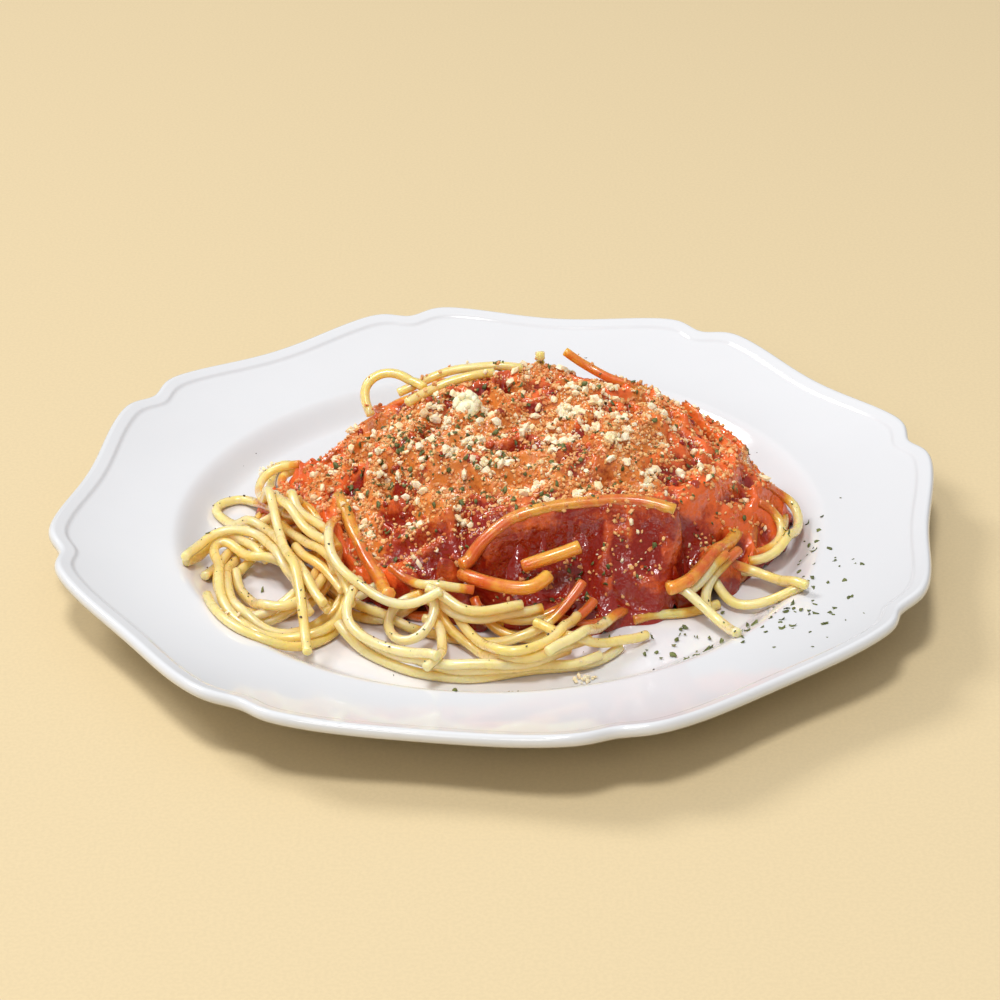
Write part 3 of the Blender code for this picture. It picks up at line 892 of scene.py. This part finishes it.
def spots(*ovals):
    """Sum of smooth ovals on the grid, each given by its middle, radii and weight."""
    return sum(w * np.exp(-(((XX - x) / rx) ** 2 + ((YY - y) / ry) ** 2)) for x, y, rx, ry, w in ovals)


# ---- materials ----


def link(tree, socket, value):
    """Feed a socket from another socket, or set it to a constant."""
    if isinstance(value, bpy.types.NodeSocket):
        tree.links.new(value, socket)
    else:
        socket.default_value = value


def new_material(name, **sockets):
    """A Principled material with these constants on its sockets."""
    material = bpy.data.materials.new(name)
    material.use_nodes = True
    shader = material.node_tree.nodes["Principled BSDF"]
    for key, value in sockets.items():
        socket = shader.inputs[key.replace("_", " ")]
        socket.default_value = (*value, 1.0) if key == "Base_Color" else value
    return material, material.node_tree, shader


def noise(tree, scale, detail=3.0, roughness=0.55):
    """Noise on the object's own coordinates; scale is in cells to a metre."""
    coordinates = tree.nodes.new("ShaderNodeTexCoord").outputs["Object"]
    texture = tree.nodes.new("ShaderNodeTexNoise")
    texture.inputs["Scale"].default_value = scale
    texture.inputs["Detail"].default_value = detail
    texture.inputs["Roughness"].default_value = roughness
    tree.links.new(coordinates, texture.inputs["Vector"])
    return texture.outputs["Fac"]


def attribute(tree, name):
    """A number that the mesh carries at each of its points."""
    reader = tree.nodes.new("ShaderNodeAttribute")
    reader.attribute_name = name
    return reader.outputs["Fac"]


def math(tree, operation, a, b, clamp=False):
    """One sum on two sockets or numbers; clamp holds the result between 0 and 1."""
    made = tree.nodes.new("ShaderNodeMath")
    made.operation = operation
    made.use_clamp = clamp
    link(tree, made.inputs[0], a)
    link(tree, made.inputs[1], b)
    return made.outputs[0]


def weighted(tree, first, second, clamp=False):
    """Sum of two values, each times its weight."""
    terms = []
    for value, weight in (first, second):
        terms.append(value if weight == 1 else math(tree, "MULTIPLY", value, weight))
    return math(tree, "ADD", *terms, clamp)


def remap(tree, value, low, high, to_low=0.0, to_high=1.0):
    """A value's range stretched smoothly to another, held at both ends."""
    made = tree.nodes.new("ShaderNodeMapRange")
    made.interpolation_type = "SMOOTHSTEP"
    link(tree, made.inputs["Value"], value)
    for key, number in (("From Min", low), ("From Max", high), ("To Min", to_low), ("To Max", to_high)):
        made.inputs[key].default_value = number
    return made.outputs["Result"]


def mix(tree, factor, a, b):
    """Two colours mixed by a factor; each is a colour or a socket."""
    made = tree.nodes.new("ShaderNodeMix")
    made.data_type = "RGBA"
    link(tree, made.inputs["Factor"], factor)
    link(tree, made.inputs["A"], a if isinstance(a, bpy.types.NodeSocket) else (*a, 1.0))
    link(tree, made.inputs["B"], b if isinstance(b, bpy.types.NodeSocket) else (*b, 1.0))
    return made.outputs["Result"]


def bump(tree, shader, height, strength, distance):
    """Relief on a shader from a height, its depth given as a distance in metres."""
    made = tree.nodes.new("ShaderNodeBump")
    made.inputs["Strength"].default_value = strength
    made.inputs["Distance"].default_value = distance
    tree.links.new(height, made.inputs["Height"])
    tree.links.new(made.outputs["Normal"], shader.inputs["Normal"])


def glaze_material(colour):
    """White glaze: a clear gloss over a faintly uneven body."""
    material, tree, shader = new_material(
        "white glaze", Roughness=0.1, Coat_Weight=0.4, Coat_Roughness=0.05,
    )
    cloud = remap(tree, noise(tree, 14.0), 0.3, 0.7)
    darker = tuple(c * 0.97 for c in colour)
    link(tree, shader.inputs["Base Color"], mix(tree, cloud, colour, darker))
    link(tree, shader.inputs["Roughness"], remap(tree, noise(tree, 60.0), 0.3, 0.7, 0.08, 0.16))
    bump(tree, shader, noise(tree, 45.0, 2.0), 0.04, 0.001)
    return material


def pasta_material(pale, deep, oily, red):
    """Cooked pasta: wet and a little see-through, in tones of its own, deeper in painted shade low in the
    heap, stained where sauce has run.
    """
    material, tree, shader = new_material(
        "cooked pasta", IOR=1.45, Subsurface_Weight=0.8, Subsurface_Radius=(1.0, 0.65, 0.15),
        Subsurface_Scale=0.01, Coat_Weight=1.0, Coat_Roughness=0.18, Sheen_Weight=0.35, Sheen_Roughness=0.5,
        Sheen_Tint=(1.0, 0.6, 0.16, 1.0),
    )
    patch = remap(tree, noise(tree, 55.0, 3.0), 0.35, 0.7)
    # The tone attribute is a random tone plus painted shade, which deepens the colour where a strand lies
    # low in the heap.
    tone = weighted(tree, (patch, 0.4), (attribute(tree, "tone"), 0.5), True)
    plain = mix(tree, tone, pale, deep)
    coat = attribute(tree, "coat")
    streak = math(tree, "SUBTRACT", noise(tree, 260.0, 3.0), 0.5)
    stain = weighted(tree, (coat, 1), (streak, 0.9))
    oiled = mix(tree, remap(tree, stain, 0.12, 0.5), plain, oily)
    link(tree, shader.inputs["Base Color"], mix(tree, remap(tree, stain, 0.5, 1.0), oiled, red))
    link(tree, shader.inputs["Roughness"], remap(tree, noise(tree, 380.0), 0.3, 0.7, 0.22, 0.4))
    bump(tree, shader, noise(tree, 800.0, 2.0), 0.2, 0.0004)
    return material


def sauce_material(deep, bright, creamy):
    """Meat sauce: glossy red with fat and cheese worked into it in patches, grainy with mince, and with
    painted shade and sheen.
    """
    material, tree, shader = new_material(
        "meat sauce", IOR=1.45, Specular_IOR_Level=0.85, Subsurface_Weight=0.1,
        Subsurface_Radius=(1.0, 0.25, 0.1), Subsurface_Scale=0.001,
    )
    grain = noise(tree, 520.0, 4.0, 0.65)
    patch = noise(tree, 85.0, 4.0, 0.6)
    blotch = weighted(tree, (patch, 0.7), (grain, 0.3))
    # Random blotches of fat, plus the point attribute's painted shade and sheen: deep red in hollows and on
    # the front slope, bright on crests and sides.
    fatty = weighted(tree, (blotch, 1), (attribute(tree, "fatty"), 0.35))
    rich = mix(tree, remap(tree, fatty, 0.45, 0.78), deep, bright)
    cheesy = weighted(tree, (attribute(tree, "cheesy"), 1), (math(tree, "SUBTRACT", blotch, 0.5), 3.0))
    link(tree, shader.inputs["Base Color"], mix(tree, remap(tree, cheesy, 0.35, 0.95), rich, creamy))
    link(tree, shader.inputs["Roughness"], remap(tree, cheesy, 0.1, 0.9, 0.1, 0.26))
    folds = weighted(tree, (noise(tree, 170.0, 2.0), 1), (noise(tree, 430.0, 2.0, 0.4), 0.34))
    rough = weighted(tree, (folds, 1), (noise(tree, 1300.0, 1.0), 0.12))
    bump(tree, shader, rough, 0.62, 0.002)
    return material


def crumb_material(name, pale, deep, roughness):
    """Grated cheese and other crumbs: softly lit through, mottled, each crumb in a tone of its own."""
    material, tree, shader = new_material(
        name, Subsurface_Weight=0.3, Subsurface_Radius=(1.0, 0.7, 0.4), Subsurface_Scale=0.0008,
        Roughness=roughness,
    )
    mottled = remap(tree, noise(tree, 700.0, 3.0), 0.35, 0.65)
    tone = weighted(tree, (mottled, 0.35), (attribute(tree, "tone"), 0.65))
    link(tree, shader.inputs["Base Color"], mix(tree, tone, pale, deep))
    bump(tree, shader, noise(tree, 1600.0, 2.0), 0.4, 0.0003)
    return material


def leaf_material(name, pale, deep):
    """Dried leaf or pepper: dull, veined by noise, each flake in a tone of its own."""
    material, tree, shader = new_material(name, Roughness=0.55)
    vein = remap(tree, noise(tree, 900.0), 0.35, 0.65)
    tone = weighted(tree, (vein, 0.4), (attribute(tree, "tone"), 0.6))
    link(tree, shader.inputs["Base Color"], mix(tree, tone, pale, deep))
    bump(tree, shader, noise(tree, 1500.0, 2.0), 0.4, 0.0003)
    return material


# ---- settings ----


def colour_property(name, description, default):
    return bpy.props.FloatVectorProperty(
        name=name, description=description, default=default, subtype="COLOR", min=0.0, max=1.0
    )


def count_property(name, description, default):
    return bpy.props.IntProperty(name=name, description=description, default=default, min=0)


def length_property(name, description, default):
    return bpy.props.FloatProperty(
        name=name, description=description, default=default * MM, unit="LENGTH", precision=5
    )


def number_property(name, description, default):
    return bpy.props.FloatProperty(name=name, description=description, default=default)


def power_property(name, description, default):
    return bpy.props.FloatProperty(name=name, description=description, default=default, unit="POWER")


class PlateSettings(bpy.types.PropertyGroup):
    edge_radius: length_property("Edge radius", "Reach of the edge at the middle of each side", 131.2)
    thickness: length_property("Edge thickness", "Thickness of the flange at its edge", 3.2)
    lip: length_property("Border height", "Height of the raised border inside the edge", 0.55)
    glaze: colour_property("Glaze", "Colour of the glaze", (0.715, 0.73, 0.76))


class PastaSettings(bpy.types.PropertyGroup):
    diameter: length_property("Strand", "Thickness of a cooked strand", 3.0)
    count: count_property("Wound strands", "Strands that fill the heap", 66)
    seed: count_property("Seed", "Changes how the strands fall", 25)
    pale: colour_property("Pale", "Lightest pasta", (1.0, 0.755, 0.42))
    deep: colour_property("Deep", "Deepest pasta", (1.0, 0.58, 0.15))
    oily: colour_property("Oily", "Pasta stained by the sauce's oil", (0.85, 0.36, 0.04))
    red: colour_property("Coated", "Pasta coated with sauce", (0.66, 0.11, 0.01))


class SauceSettings(bpy.types.PropertyGroup):
    thickness: length_property("Thickness", "Thickness over the strands", 3.0)
    # The deep red is painted shade as well as pooled sauce, in hollows and on the front slope. The bright
    # red is painted sheen as well as thin or fat-rich sauce, on crests and sides.
    deep: colour_property("Deep red", "Sauce in its hollows", (0.27, 0.012, 0.004))
    bright: colour_property("Bright red", "Sauce where it is thin or fatty", (0.80, 0.14, 0.025))
    creamy: colour_property("Creamy", "Sauce with cheese worked into it", (0.74, 0.235, 0.042))


class ToppingSettings(bpy.types.PropertyGroup):
    crumbs: count_property("Cheese crumbs", "Pale crumbs on the sauce", 2400)
    clumps: count_property("Clumps", "Clumps of a dozen crumbs each", 62)
    lumps: count_property("Mince", "Lumps of mince that stand out of the sauce", 150)
    grains: count_property("Grains", "Small grains soaked with sauce", 9300)
    flakes: count_property("Parsley", "Flakes of dried parsley", 1250)
    specks: count_property("Pepper", "Specks of ground pepper", 190)
    cheese: colour_property("Cheese", "Palest crumbs", (0.95, 0.86, 0.66))
    rind: colour_property("Toasted cheese", "Deepest of the cheese crumbs", (0.92, 0.70, 0.38))
    soaked: colour_property("Soaked crumb", "Palest of the soaked grains", (0.90, 0.58, 0.24))
    stained: colour_property("Stained crumb", "Deepest of the soaked grains", (0.62, 0.15, 0.03))
    parsley: colour_property("Parsley", "Darkest flakes of parsley", (0.055, 0.072, 0.014))
    leaf: colour_property("Leaf", "Palest flakes of parsley", (0.17, 0.195, 0.05))


class StageSettings(bpy.types.PropertyGroup):
    floor: colour_property("Floor", "Colour of the floor", (0.68, 0.55, 0.335))
    key: power_property("Key light", "Power of the soft light from the back left", 45.0)
    fill: power_property("Fill light", "Power of the soft light overhead", 31.0)
    front: power_property("Front light", "Power of the low soft light from the front", 7.0)
    sky: number_property("Sky", "Strength of the light from all round", 0.385)
    lens: number_property("Lens", "Focal length in mm on a 36 mm sensor", 92.97)


class BologneseSettings(bpy.types.PropertyGroup):
    plate: bpy.props.PointerProperty(type=PlateSettings)
    pasta: bpy.props.PointerProperty(type=PastaSettings)
    sauce: bpy.props.PointerProperty(type=SauceSettings)
    toppings: bpy.props.PointerProperty(type=ToppingSettings)
    stage: bpy.props.PointerProperty(type=StageSettings)


# ---- operators ----


def sauced_heap(settings):
    """What the settings make of the heap and the sauce; worked out once for each set of values."""
    pasta, sauce = settings.pasta, settings.sauce
    radius = pasta.diameter / MM / 2
    return sauced(radius, pasta.count, pasta.seed, sauce.thickness / MM)


def pasta_look(settings):
    """The pasta's material, made the first time that it is asked for."""
    made = bpy.data.materials.get("cooked pasta")
    pasta = settings.pasta
    return made or pasta_material(tuple(pasta.pale), tuple(pasta.deep), tuple(pasta.oily), tuple(pasta.red))


def sauce_look(settings):
    """The sauce's material, made the first time that it is asked for."""
    made = bpy.data.materials.get("meat sauce")
    sauce = settings.sauce
    return made or sauce_material(tuple(sauce.deep), tuple(sauce.bright), tuple(sauce.creamy))


class BOLOGNESE_OT_plate(bpy.types.Operator):
    """Build the dinner plate"""

    bl_idname = "bolognese.plate"
    bl_label = "Plate"

    def execute(self, context):
        plate = context.scene.bolognese.plate
        body = plate_surface(plate.edge_radius / MM, plate.thickness / MM, plate.lip / MM)
        add_piece("dinner_plate", *body, glaze_material(tuple(plate.glaze)), "plate_glaze", ("plate",))
        return {"FINISHED"}


class BOLOGNESE_OT_strands(bpy.types.Operator):
    """Lay the strands and skin those that can be seen"""

    bl_idname = "bolognese.strands"
    bl_label = "Strands"

    def execute(self, context):
        settings = context.scene.bolognese
        pasta = settings.pasta
        radius = pasta.diameter / MM / 2
        heap, groups = laid_pasta(radius, pasta.count, pasta.seed)
        top, inset, later, _ = sauced_heap(settings)
        pressed = hollow(XX, YY)
        cover = blurred(heap.height, 3.0)
        rng = np.random.default_rng(pasta.seed + 3)
        half = len(groups["wound"]) // 2
        bundles = {
            "strands_wound_low": groups["wound"][:half],
            "strands_wound_high": groups["wound"][half:],
            "strands_nest": groups["nest"],
            "strands_front": groups["front"],
            "strands_back": later["back"],
            "strands_coated": later["coated"],
        }
        for name, strands in bundles.items():
            parts, coats, tones = [], [], []
            for path in strands:
                x, y, z = path.T
                inside = sampled(inset, x, y)
                if name in ("strands_coated", "strands_back"):
                    sway = np.sin(0.15 * np.arange(len(x)) + rng.uniform(0, 6))
                    coat = 0.76 + 0.14 * sway if name == "strands_coated" else 0.05 + 0 * x
                    seen = np.ones(len(x), bool)
                else:
                    sway = np.sin(0.21 * np.arange(len(x)) + rng.uniform(0, 6))
                    coat = ramp(inside + 1.8 * sway, -3.5, 4.0)
                    clear = (z + radius > sampled(top, x, y) - STANDS_OUT) | (inside < 1)
                    clear = clear & uncovered(inside, sampled(pressed, x, y))
                    seen = np.convolve(clear, np.ones(7), "same") > 0
                thickened = name == "strands_coated" and z.max() < COATED_BELOW
                swell = COATED_SWELL if thickened else rng.uniform(0.95, 1.03)
                for run in seen_runs(np.column_stack([path, coat]), seen):
                    skin, coat_on_skin = tube(run, radius * swell)
                    parts.append(skin)
                    along, across, up = skin[0].T
                    buried = sampled(cover, along, across) - up
                    # A run's tone is random, plus painted shade that deepens its colour the further it lies
                    # below the heap's top.
                    tones.append(rng.uniform() + BURIED_SHADE * ramp(buried, -1, 6))
                    near_sauce = ramp(sampled(inset, along, across), -24, -2)
                    coats.append(coat_on_skin + DRIPS * ramp(buried, 0.5, 5) * near_sauce)
            if parts:
                values = {"coat": np.concatenate(coats), "tone": np.concatenate(tones)}
                add_piece(name, *joined(parts), pasta_look(settings), "pasta", ("spaghetti",), **values)
        return {"FINISHED"}


class BOLOGNESE_OT_core(bpy.types.Operator):
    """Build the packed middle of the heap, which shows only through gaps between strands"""

    bl_idname = "bolognese.core"
    bl_label = "Packed middle"

    def execute(self, context):
        top, inset = sauced_heap(context.scene.bolognese)[:2]
        angle = np.linspace(0, 2 * np.pi, 180, endpoint=False)
        reach = outline(angle, HEAP_OUTLINE) - CORE_INSET
        for _ in range(60):
            reach = reach - 0.4 * (pasta_dome(*around_heap(angle, reach), CORE_DEPTH) < WELL_FLOOR + 0.3)

        def lower_ring(share):
            x, y = around_heap(angle, reach * share)
            return np.stack([x, y, WELL_FLOOR + 0.2 + 0 * x], axis=1)

        def upper_ring(share):
            x, y = around_heap(angle, reach * share)
            z = np.minimum(pasta_dome(x, y, CORE_DEPTH), sampled(top, x, y) - 1.5)
            return np.stack([x, y, z], axis=1)

        low = [lower_ring(share) for share in (0.02, 0.5, 0.99)]
        body = loft(np.array(low + [upper_ring(share) for share in np.linspace(0.99, 0.02, 60)]))
        coat = ramp(sampled(inset, body[0][:, 0], body[0][:, 1]), -9, 0)
        # The packed middle takes the deepest tone: painted shade in the gaps it shows through.
        values = {"coat": coat, "tone": np.full(len(body[0]), 1.6)}
        look = pasta_look(context.scene.bolognese)
        add_piece("heap_core", *body, look, "pasta", ("spaghetti",), **values)
        return {"FINISHED"}


class BOLOGNESE_OT_sauce(bpy.types.Operator):
    """Pour the meat sauce over the heap"""

    bl_idname = "bolognese.sauce"
    bl_label = "Meat sauce"

    def execute(self, context):
        settings = context.scene.bolognese
        sauce = settings.sauce
        top, inset, _, _ = sauced_heap(settings)
        body = sauce_surface(top, sauce.thickness / MM)
        x, y = body[0][:, 0], body[0][:, 1]
        cheesy = sampled(cheese_weight(inset), x, y)
        # Painted shade and sheen, with sauce that pools or thins: deeper red where the sauce lies below its
        # surroundings, brighter where it stands above them, brighter to the right and left, and deeper
        # towards the front.
        raised = np.clip(0.35 * (top - blurred(np.where(inset > -4, top, 10.0), 3.5)), -0.8, 0.5)
        spread = 0.6 * ramp(XX + 0.6 * YY, 15, 55) + 0.8 * ramp(-XX, 22, 50) - 0.3 * ramp(-YY, 25, 45)
        fatty = sampled(raised + spread, x, y)
        values = {"cheesy": cheesy, "fatty": fatty}
        add_piece("meat_sauce_layer", *body, sauce_look(settings), "meat_sauce", ("meat_sauce",), **values)
        return {"FINISHED"}


class BOLOGNESE_OT_cheese(bpy.types.Operator):
    """Scatter the grated cheese and the grains soaked with sauce"""

    bl_idname = "bolognese.cheese"
    bl_label = "Cheese"

    def execute(self, context):
        settings = context.scene.bolognese
        toppings = settings.toppings
        top, inset, _, heap = sauced_heap(settings)
        rng = np.random.default_rng(21)
        weight = cheese_weight(inset) * np.where(heap.height > top + STANDS_OUT, 0.12, 1.0)
        cheese = crumb_material("cheese", tuple(toppings.cheese), tuple(toppings.rind), 0.5)
        soaked = crumb_material("soaked crumb", tuple(toppings.soaked), tuple(toppings.stained), 0.4)
        shapes = [rounded_crumb(rng, False) for _ in range(8)]
        drifts = weight * (0.3 + np.maximum(waves(XX, YY, 13, 8), 0) ** 1.5)
        drifts = drifts + spots(*CHEESE_DRIFTS)
        places, normals = chosen_places(rng, drifts, toppings.crumbs, heap.height)
        sizes = 0.3 + 1.3 * rng.uniform(0, 1, len(places)) ** 6
        centres, leans = chosen_places(rng, drifts**1.5, toppings.clumps, heap.height)
        offsets = rng.normal(0, 1, (CLUMP_CRUMBS, len(centres), 3))
        spread = offsets * rng.uniform(0.4, 1.0, len(centres))[:, None]
        spread[..., 2] = np.abs(spread[..., 2]) * 0.5
        places = np.concatenate([places, (centres + spread).reshape(-1, 3)])
        normals = np.concatenate([normals, np.tile(leans, (CLUMP_CRUMBS, 1))])
        sizes = np.concatenate([sizes, rng.uniform(0.4, 1.0, CLUMP_CRUMBS * len(centres))])
        table = np.maximum(heap.height, plate_height(np.hypot(XX, YY)))
        strays, leans = chosen_places(rng, spots(*STRAY_CRUMBS), STRAY_COUNT, table)
        places, normals = np.concatenate([places, strays]), np.concatenate([normals, leans])
        sizes = np.concatenate([sizes, rng.uniform(0.3, 0.9, len(strays))])
        body, tone = scattered(shapes, rng, places, normals, sizes)
        add_piece("cheese_crumbs", *body, cheese, "cheese", smooth=False, tone=tone)
        on_front = 0.14 * ramp(inset, 3, 8) * (heap.height < top + STANDS_OUT)
        places, normals = chosen_places(rng, weight + on_front, toppings.grains, heap.height)
        sizes = 0.32 + 0.52 * rng.uniform(0, 1, len(places)) ** 1.6
        body, tone = scattered(shapes, rng, places, normals, sizes, 0.35)
        add_piece("soaked_crumbs", *body, soaked, "meat_sauce", smooth=False, tone=tone)
        on_sauce = ramp(inset, 3, 10) * (heap.height < top + STANDS_OUT)
        places, normals = chosen_places(rng, on_sauce, toppings.lumps, heap.height)
        chunks = [rounded_crumb(rng, True) for _ in range(8)]
        body, tone = scattered(chunks, rng, places, normals, rng.uniform(0.8, 1.6, len(places)), 0.68)
        mince = sauce_look(settings)
        cheesy = sampled(weight, body[0][:, 0], body[0][:, 1]) * 0.5
        add_piece("mince", *body, mince, "meat_sauce", cheesy=cheesy, fatty=0.9 * tone - 0.3)
        parts = []
        for x, y, size in LUMPS:
            turn, rise = rng.uniform(0, 2 * np.pi, LUMP_KNOBS), rng.uniform(-0.25, 1, LUMP_KNOBS)
            flat = np.sqrt(1 - rise**2)
            outward = np.column_stack([flat * np.cos(turn), flat * np.sin(turn), rise])
            knobs = np.concatenate([[(0, 0, -0.2)], outward * (3.5, 3.2, 3.3)]) * size
            sizes = np.concatenate([[3.7], rng.uniform(0.8, 1.6, LUMP_KNOBS)]) * size
            facing = np.concatenate([[(0, 0, 1.0)], outward])
            ground = sampled(heap.height, x + np.zeros(1), y + np.zeros(1))[0]
            knobs = knobs + (x, y, ground + 2.8 * size)
            parts.append(scattered(chunks, rng, knobs, facing, sizes, 0.5)[0])
        body = joined(parts)
        lump = crumb_material("cheese lump", (0.98, 0.93, 0.68), (0.95, 0.83, 0.48), 0.5)
        tone = 0.5 + 0.5 * np.sin(2 * body[0][:, 0])
        add_piece("cheese_lump", *body, lump, "cheese", ("cheese_crumb",), tone=tone)
        return {"FINISHED"}


class BOLOGNESE_OT_herbs(bpy.types.Operator):
    """Scatter the parsley and the pepper"""

    bl_idname = "bolognese.herbs"
    bl_label = "Herbs and pepper"

    def execute(self, context):
        settings = context.scene.bolognese
        toppings = settings.toppings
        top, inset, _, heap = sauced_heap(settings)
        rng = np.random.default_rng(33)
        parsley = leaf_material("parsley", tuple(toppings.parsley), tuple(toppings.leaf))
        pepper = leaf_material("pepper", (0.035, 0.02, 0.012), (0.10, 0.06, 0.03))
        surface = np.maximum(heap.height, plate_height(np.hypot(XX, YY)))
        on_sauce = ramp(inset, 2, 8) * (0.35 + spots(*PARSLEY_ON_SAUCE))
        on_sauce = on_sauce * np.where(heap.height > top + STANDS_OUT, 0.4, 1.0)
        outside = ramp(-inset, 0, 4)
        in_well = ramp(-np.hypot(XX, YY), -92, -88)
        weight = on_sauce + spots(*PARSLEY_ON_PLATE) * outside + 0.02 * outside * in_well
        places, normals = chosen_places(rng, weight, toppings.flakes, surface)
        places = places + 0.4 * normals * (sampled(inset, places[:, 0], places[:, 1]) > 0)[:, None]
        sizes = 0.5 + 0.95 * rng.uniform(0, 1, len(places)) ** 1.6
        flakes = [flake(rng) for _ in range(12)]
        body, tone = scattered(flakes, rng, places, normals, sizes, 0.1)
        add_piece("parsley_flakes", *body, parsley, None, tone=tone)
        bare = (surface > WELL_FLOOR + 2) * ramp(-inset, -2, 2) * ramp(-np.hypot(XX, YY), -96, -90)
        places, normals = chosen_places(rng, bare, toppings.specks, surface)
        shapes = [rounded_crumb(rng, False) for _ in range(5)]
        sizes = 0.12 + 0.26 * rng.uniform(0, 1, len(places)) ** 2
        body, tone = scattered(shapes, rng, places, normals, sizes)
        add_piece("pepper_specks", *body, pepper, None, tone=tone)
        return {"FINISHED"}


def add_light(name, power):
    """A round soft light, turned to the food."""
    place, size, colour = LIGHTS[name]
    lamp = bpy.data.lights.new(name, "AREA")
    lamp.shape, lamp.size, lamp.energy, lamp.color = "DISK", size, power, colour
    holder = bpy.data.objects.new(name, lamp)
    holder.location = place
    holder.rotation_euler = (Vector(LIGHT_AIM) - Vector(place)).to_track_quat("-Z", "Y").to_euler()
    bpy.context.scene.collection.objects.link(holder)


class BOLOGNESE_OT_stage(bpy.types.Operator):
    """Set the floor, the soft lights and the camera"""

    bl_idname = "bolognese.stage"
    bl_label = "Floor, lights and camera"

    def execute(self, context):
        scene = context.scene
        stage = scene.bolognese.stage
        bpy.ops.mesh.primitive_plane_add(size=8.0)
        floor = context.object
        floor.name = "floor"
        material, tree, shader = new_material("pale floor", Roughness=0.9)
        light = tuple(stage.floor)
        fleck = remap(tree, noise(tree, 900.0, 3.0), 0.35, 0.65)
        link(tree, shader.inputs["Base Color"], mix(tree, fleck, light, tuple(c * 0.96 for c in light)))
        floor.data.materials.append(material)
        world = bpy.data.worlds.new("soft sky")
        world.use_nodes = True
        sky = world.node_tree
        facing = sky.nodes.new("ShaderNodeSeparateXYZ")
        link(sky, facing.inputs[0], sky.nodes.new("ShaderNodeTexCoord").outputs["Generated"])
        link(sky, sky.nodes["Background"].inputs["Color"], (1.0, 0.99, 0.985, 1.0))
        level = remap(sky, facing.outputs["Z"], -0.1, 1.0, 0.5 * stage.sky, 1.3 * stage.sky)
        link(sky, sky.nodes["Background"].inputs["Strength"], level)
        scene.world = world
        for name in LIGHTS:
            add_light(name, getattr(stage, name))
        scene.view_settings.view_transform = "Standard"
        cos_up, sin_up = np.cos(CAMERA_ELEVATION), np.sin(CAMERA_ELEVATION)
        back = Vector((0, -cos_up, sin_up))
        level, rise = Vector((1, 0, 0)), Vector((0, sin_up, cos_up))
        right = np.cos(CAMERA_ROLL) * level + np.sin(CAMERA_ROLL) * rise
        up = np.cos(CAMERA_ROLL) * rise - np.sin(CAMERA_ROLL) * level
        camera = bpy.data.objects.new("camera", bpy.data.cameras.new("camera"))
        camera.data.lens = stage.lens
        camera.data.sensor_width = SENSOR_WIDTH
        place = Matrix.Translation(Vector(CAMERA_AIM) + back * CAMERA_DISTANCE)
        camera.matrix_world = place @ Matrix((right, up, back)).transposed().to_4x4()
        scene.collection.objects.link(camera)
        scene.camera = camera
        return {"FINISHED"}


STEPS = (
    BOLOGNESE_OT_stage, BOLOGNESE_OT_plate, BOLOGNESE_OT_core, BOLOGNESE_OT_strands,
    BOLOGNESE_OT_sauce, BOLOGNESE_OT_cheese, BOLOGNESE_OT_herbs,
)


class BOLOGNESE_PT_panel(bpy.types.Panel):
    """Lists the building steps and their settings"""

    bl_idname = "BOLOGNESE_PT_panel"
    bl_label = "Spaghetti bolognese"
    bl_space_type = "VIEW_3D"
    bl_region_type = "UI"
    bl_category = "Pasta"

    def draw(self, context):
        settings = context.scene.bolognese
        for group in (settings.plate, settings.pasta, settings.sauce, settings.toppings, settings.stage):
            box = self.layout.box()
            for key in group.__annotations__:
                box.prop(group, key)
        for step in STEPS:
            self.layout.operator(step.bl_idname)


CLASSES = (
    PlateSettings, PastaSettings, SauceSettings, ToppingSettings, StageSettings, BologneseSettings,
    *STEPS, BOLOGNESE_PT_panel,
)


def register():
    for one in CLASSES:
        bpy.utils.register_class(one)
    bpy.types.Scene.bolognese = bpy.props.PointerProperty(type=BologneseSettings)


def unregister():
    del bpy.types.Scene.bolognese
    for one in reversed(CLASSES):
        bpy.utils.unregister_class(one)


def main():
    """Run every building step in order."""
    register()
    for step in STEPS:
        group, name = step.bl_idname.split(".")
        getattr(getattr(bpy.ops, group), name)()


if __name__ == "__main__":
    main()
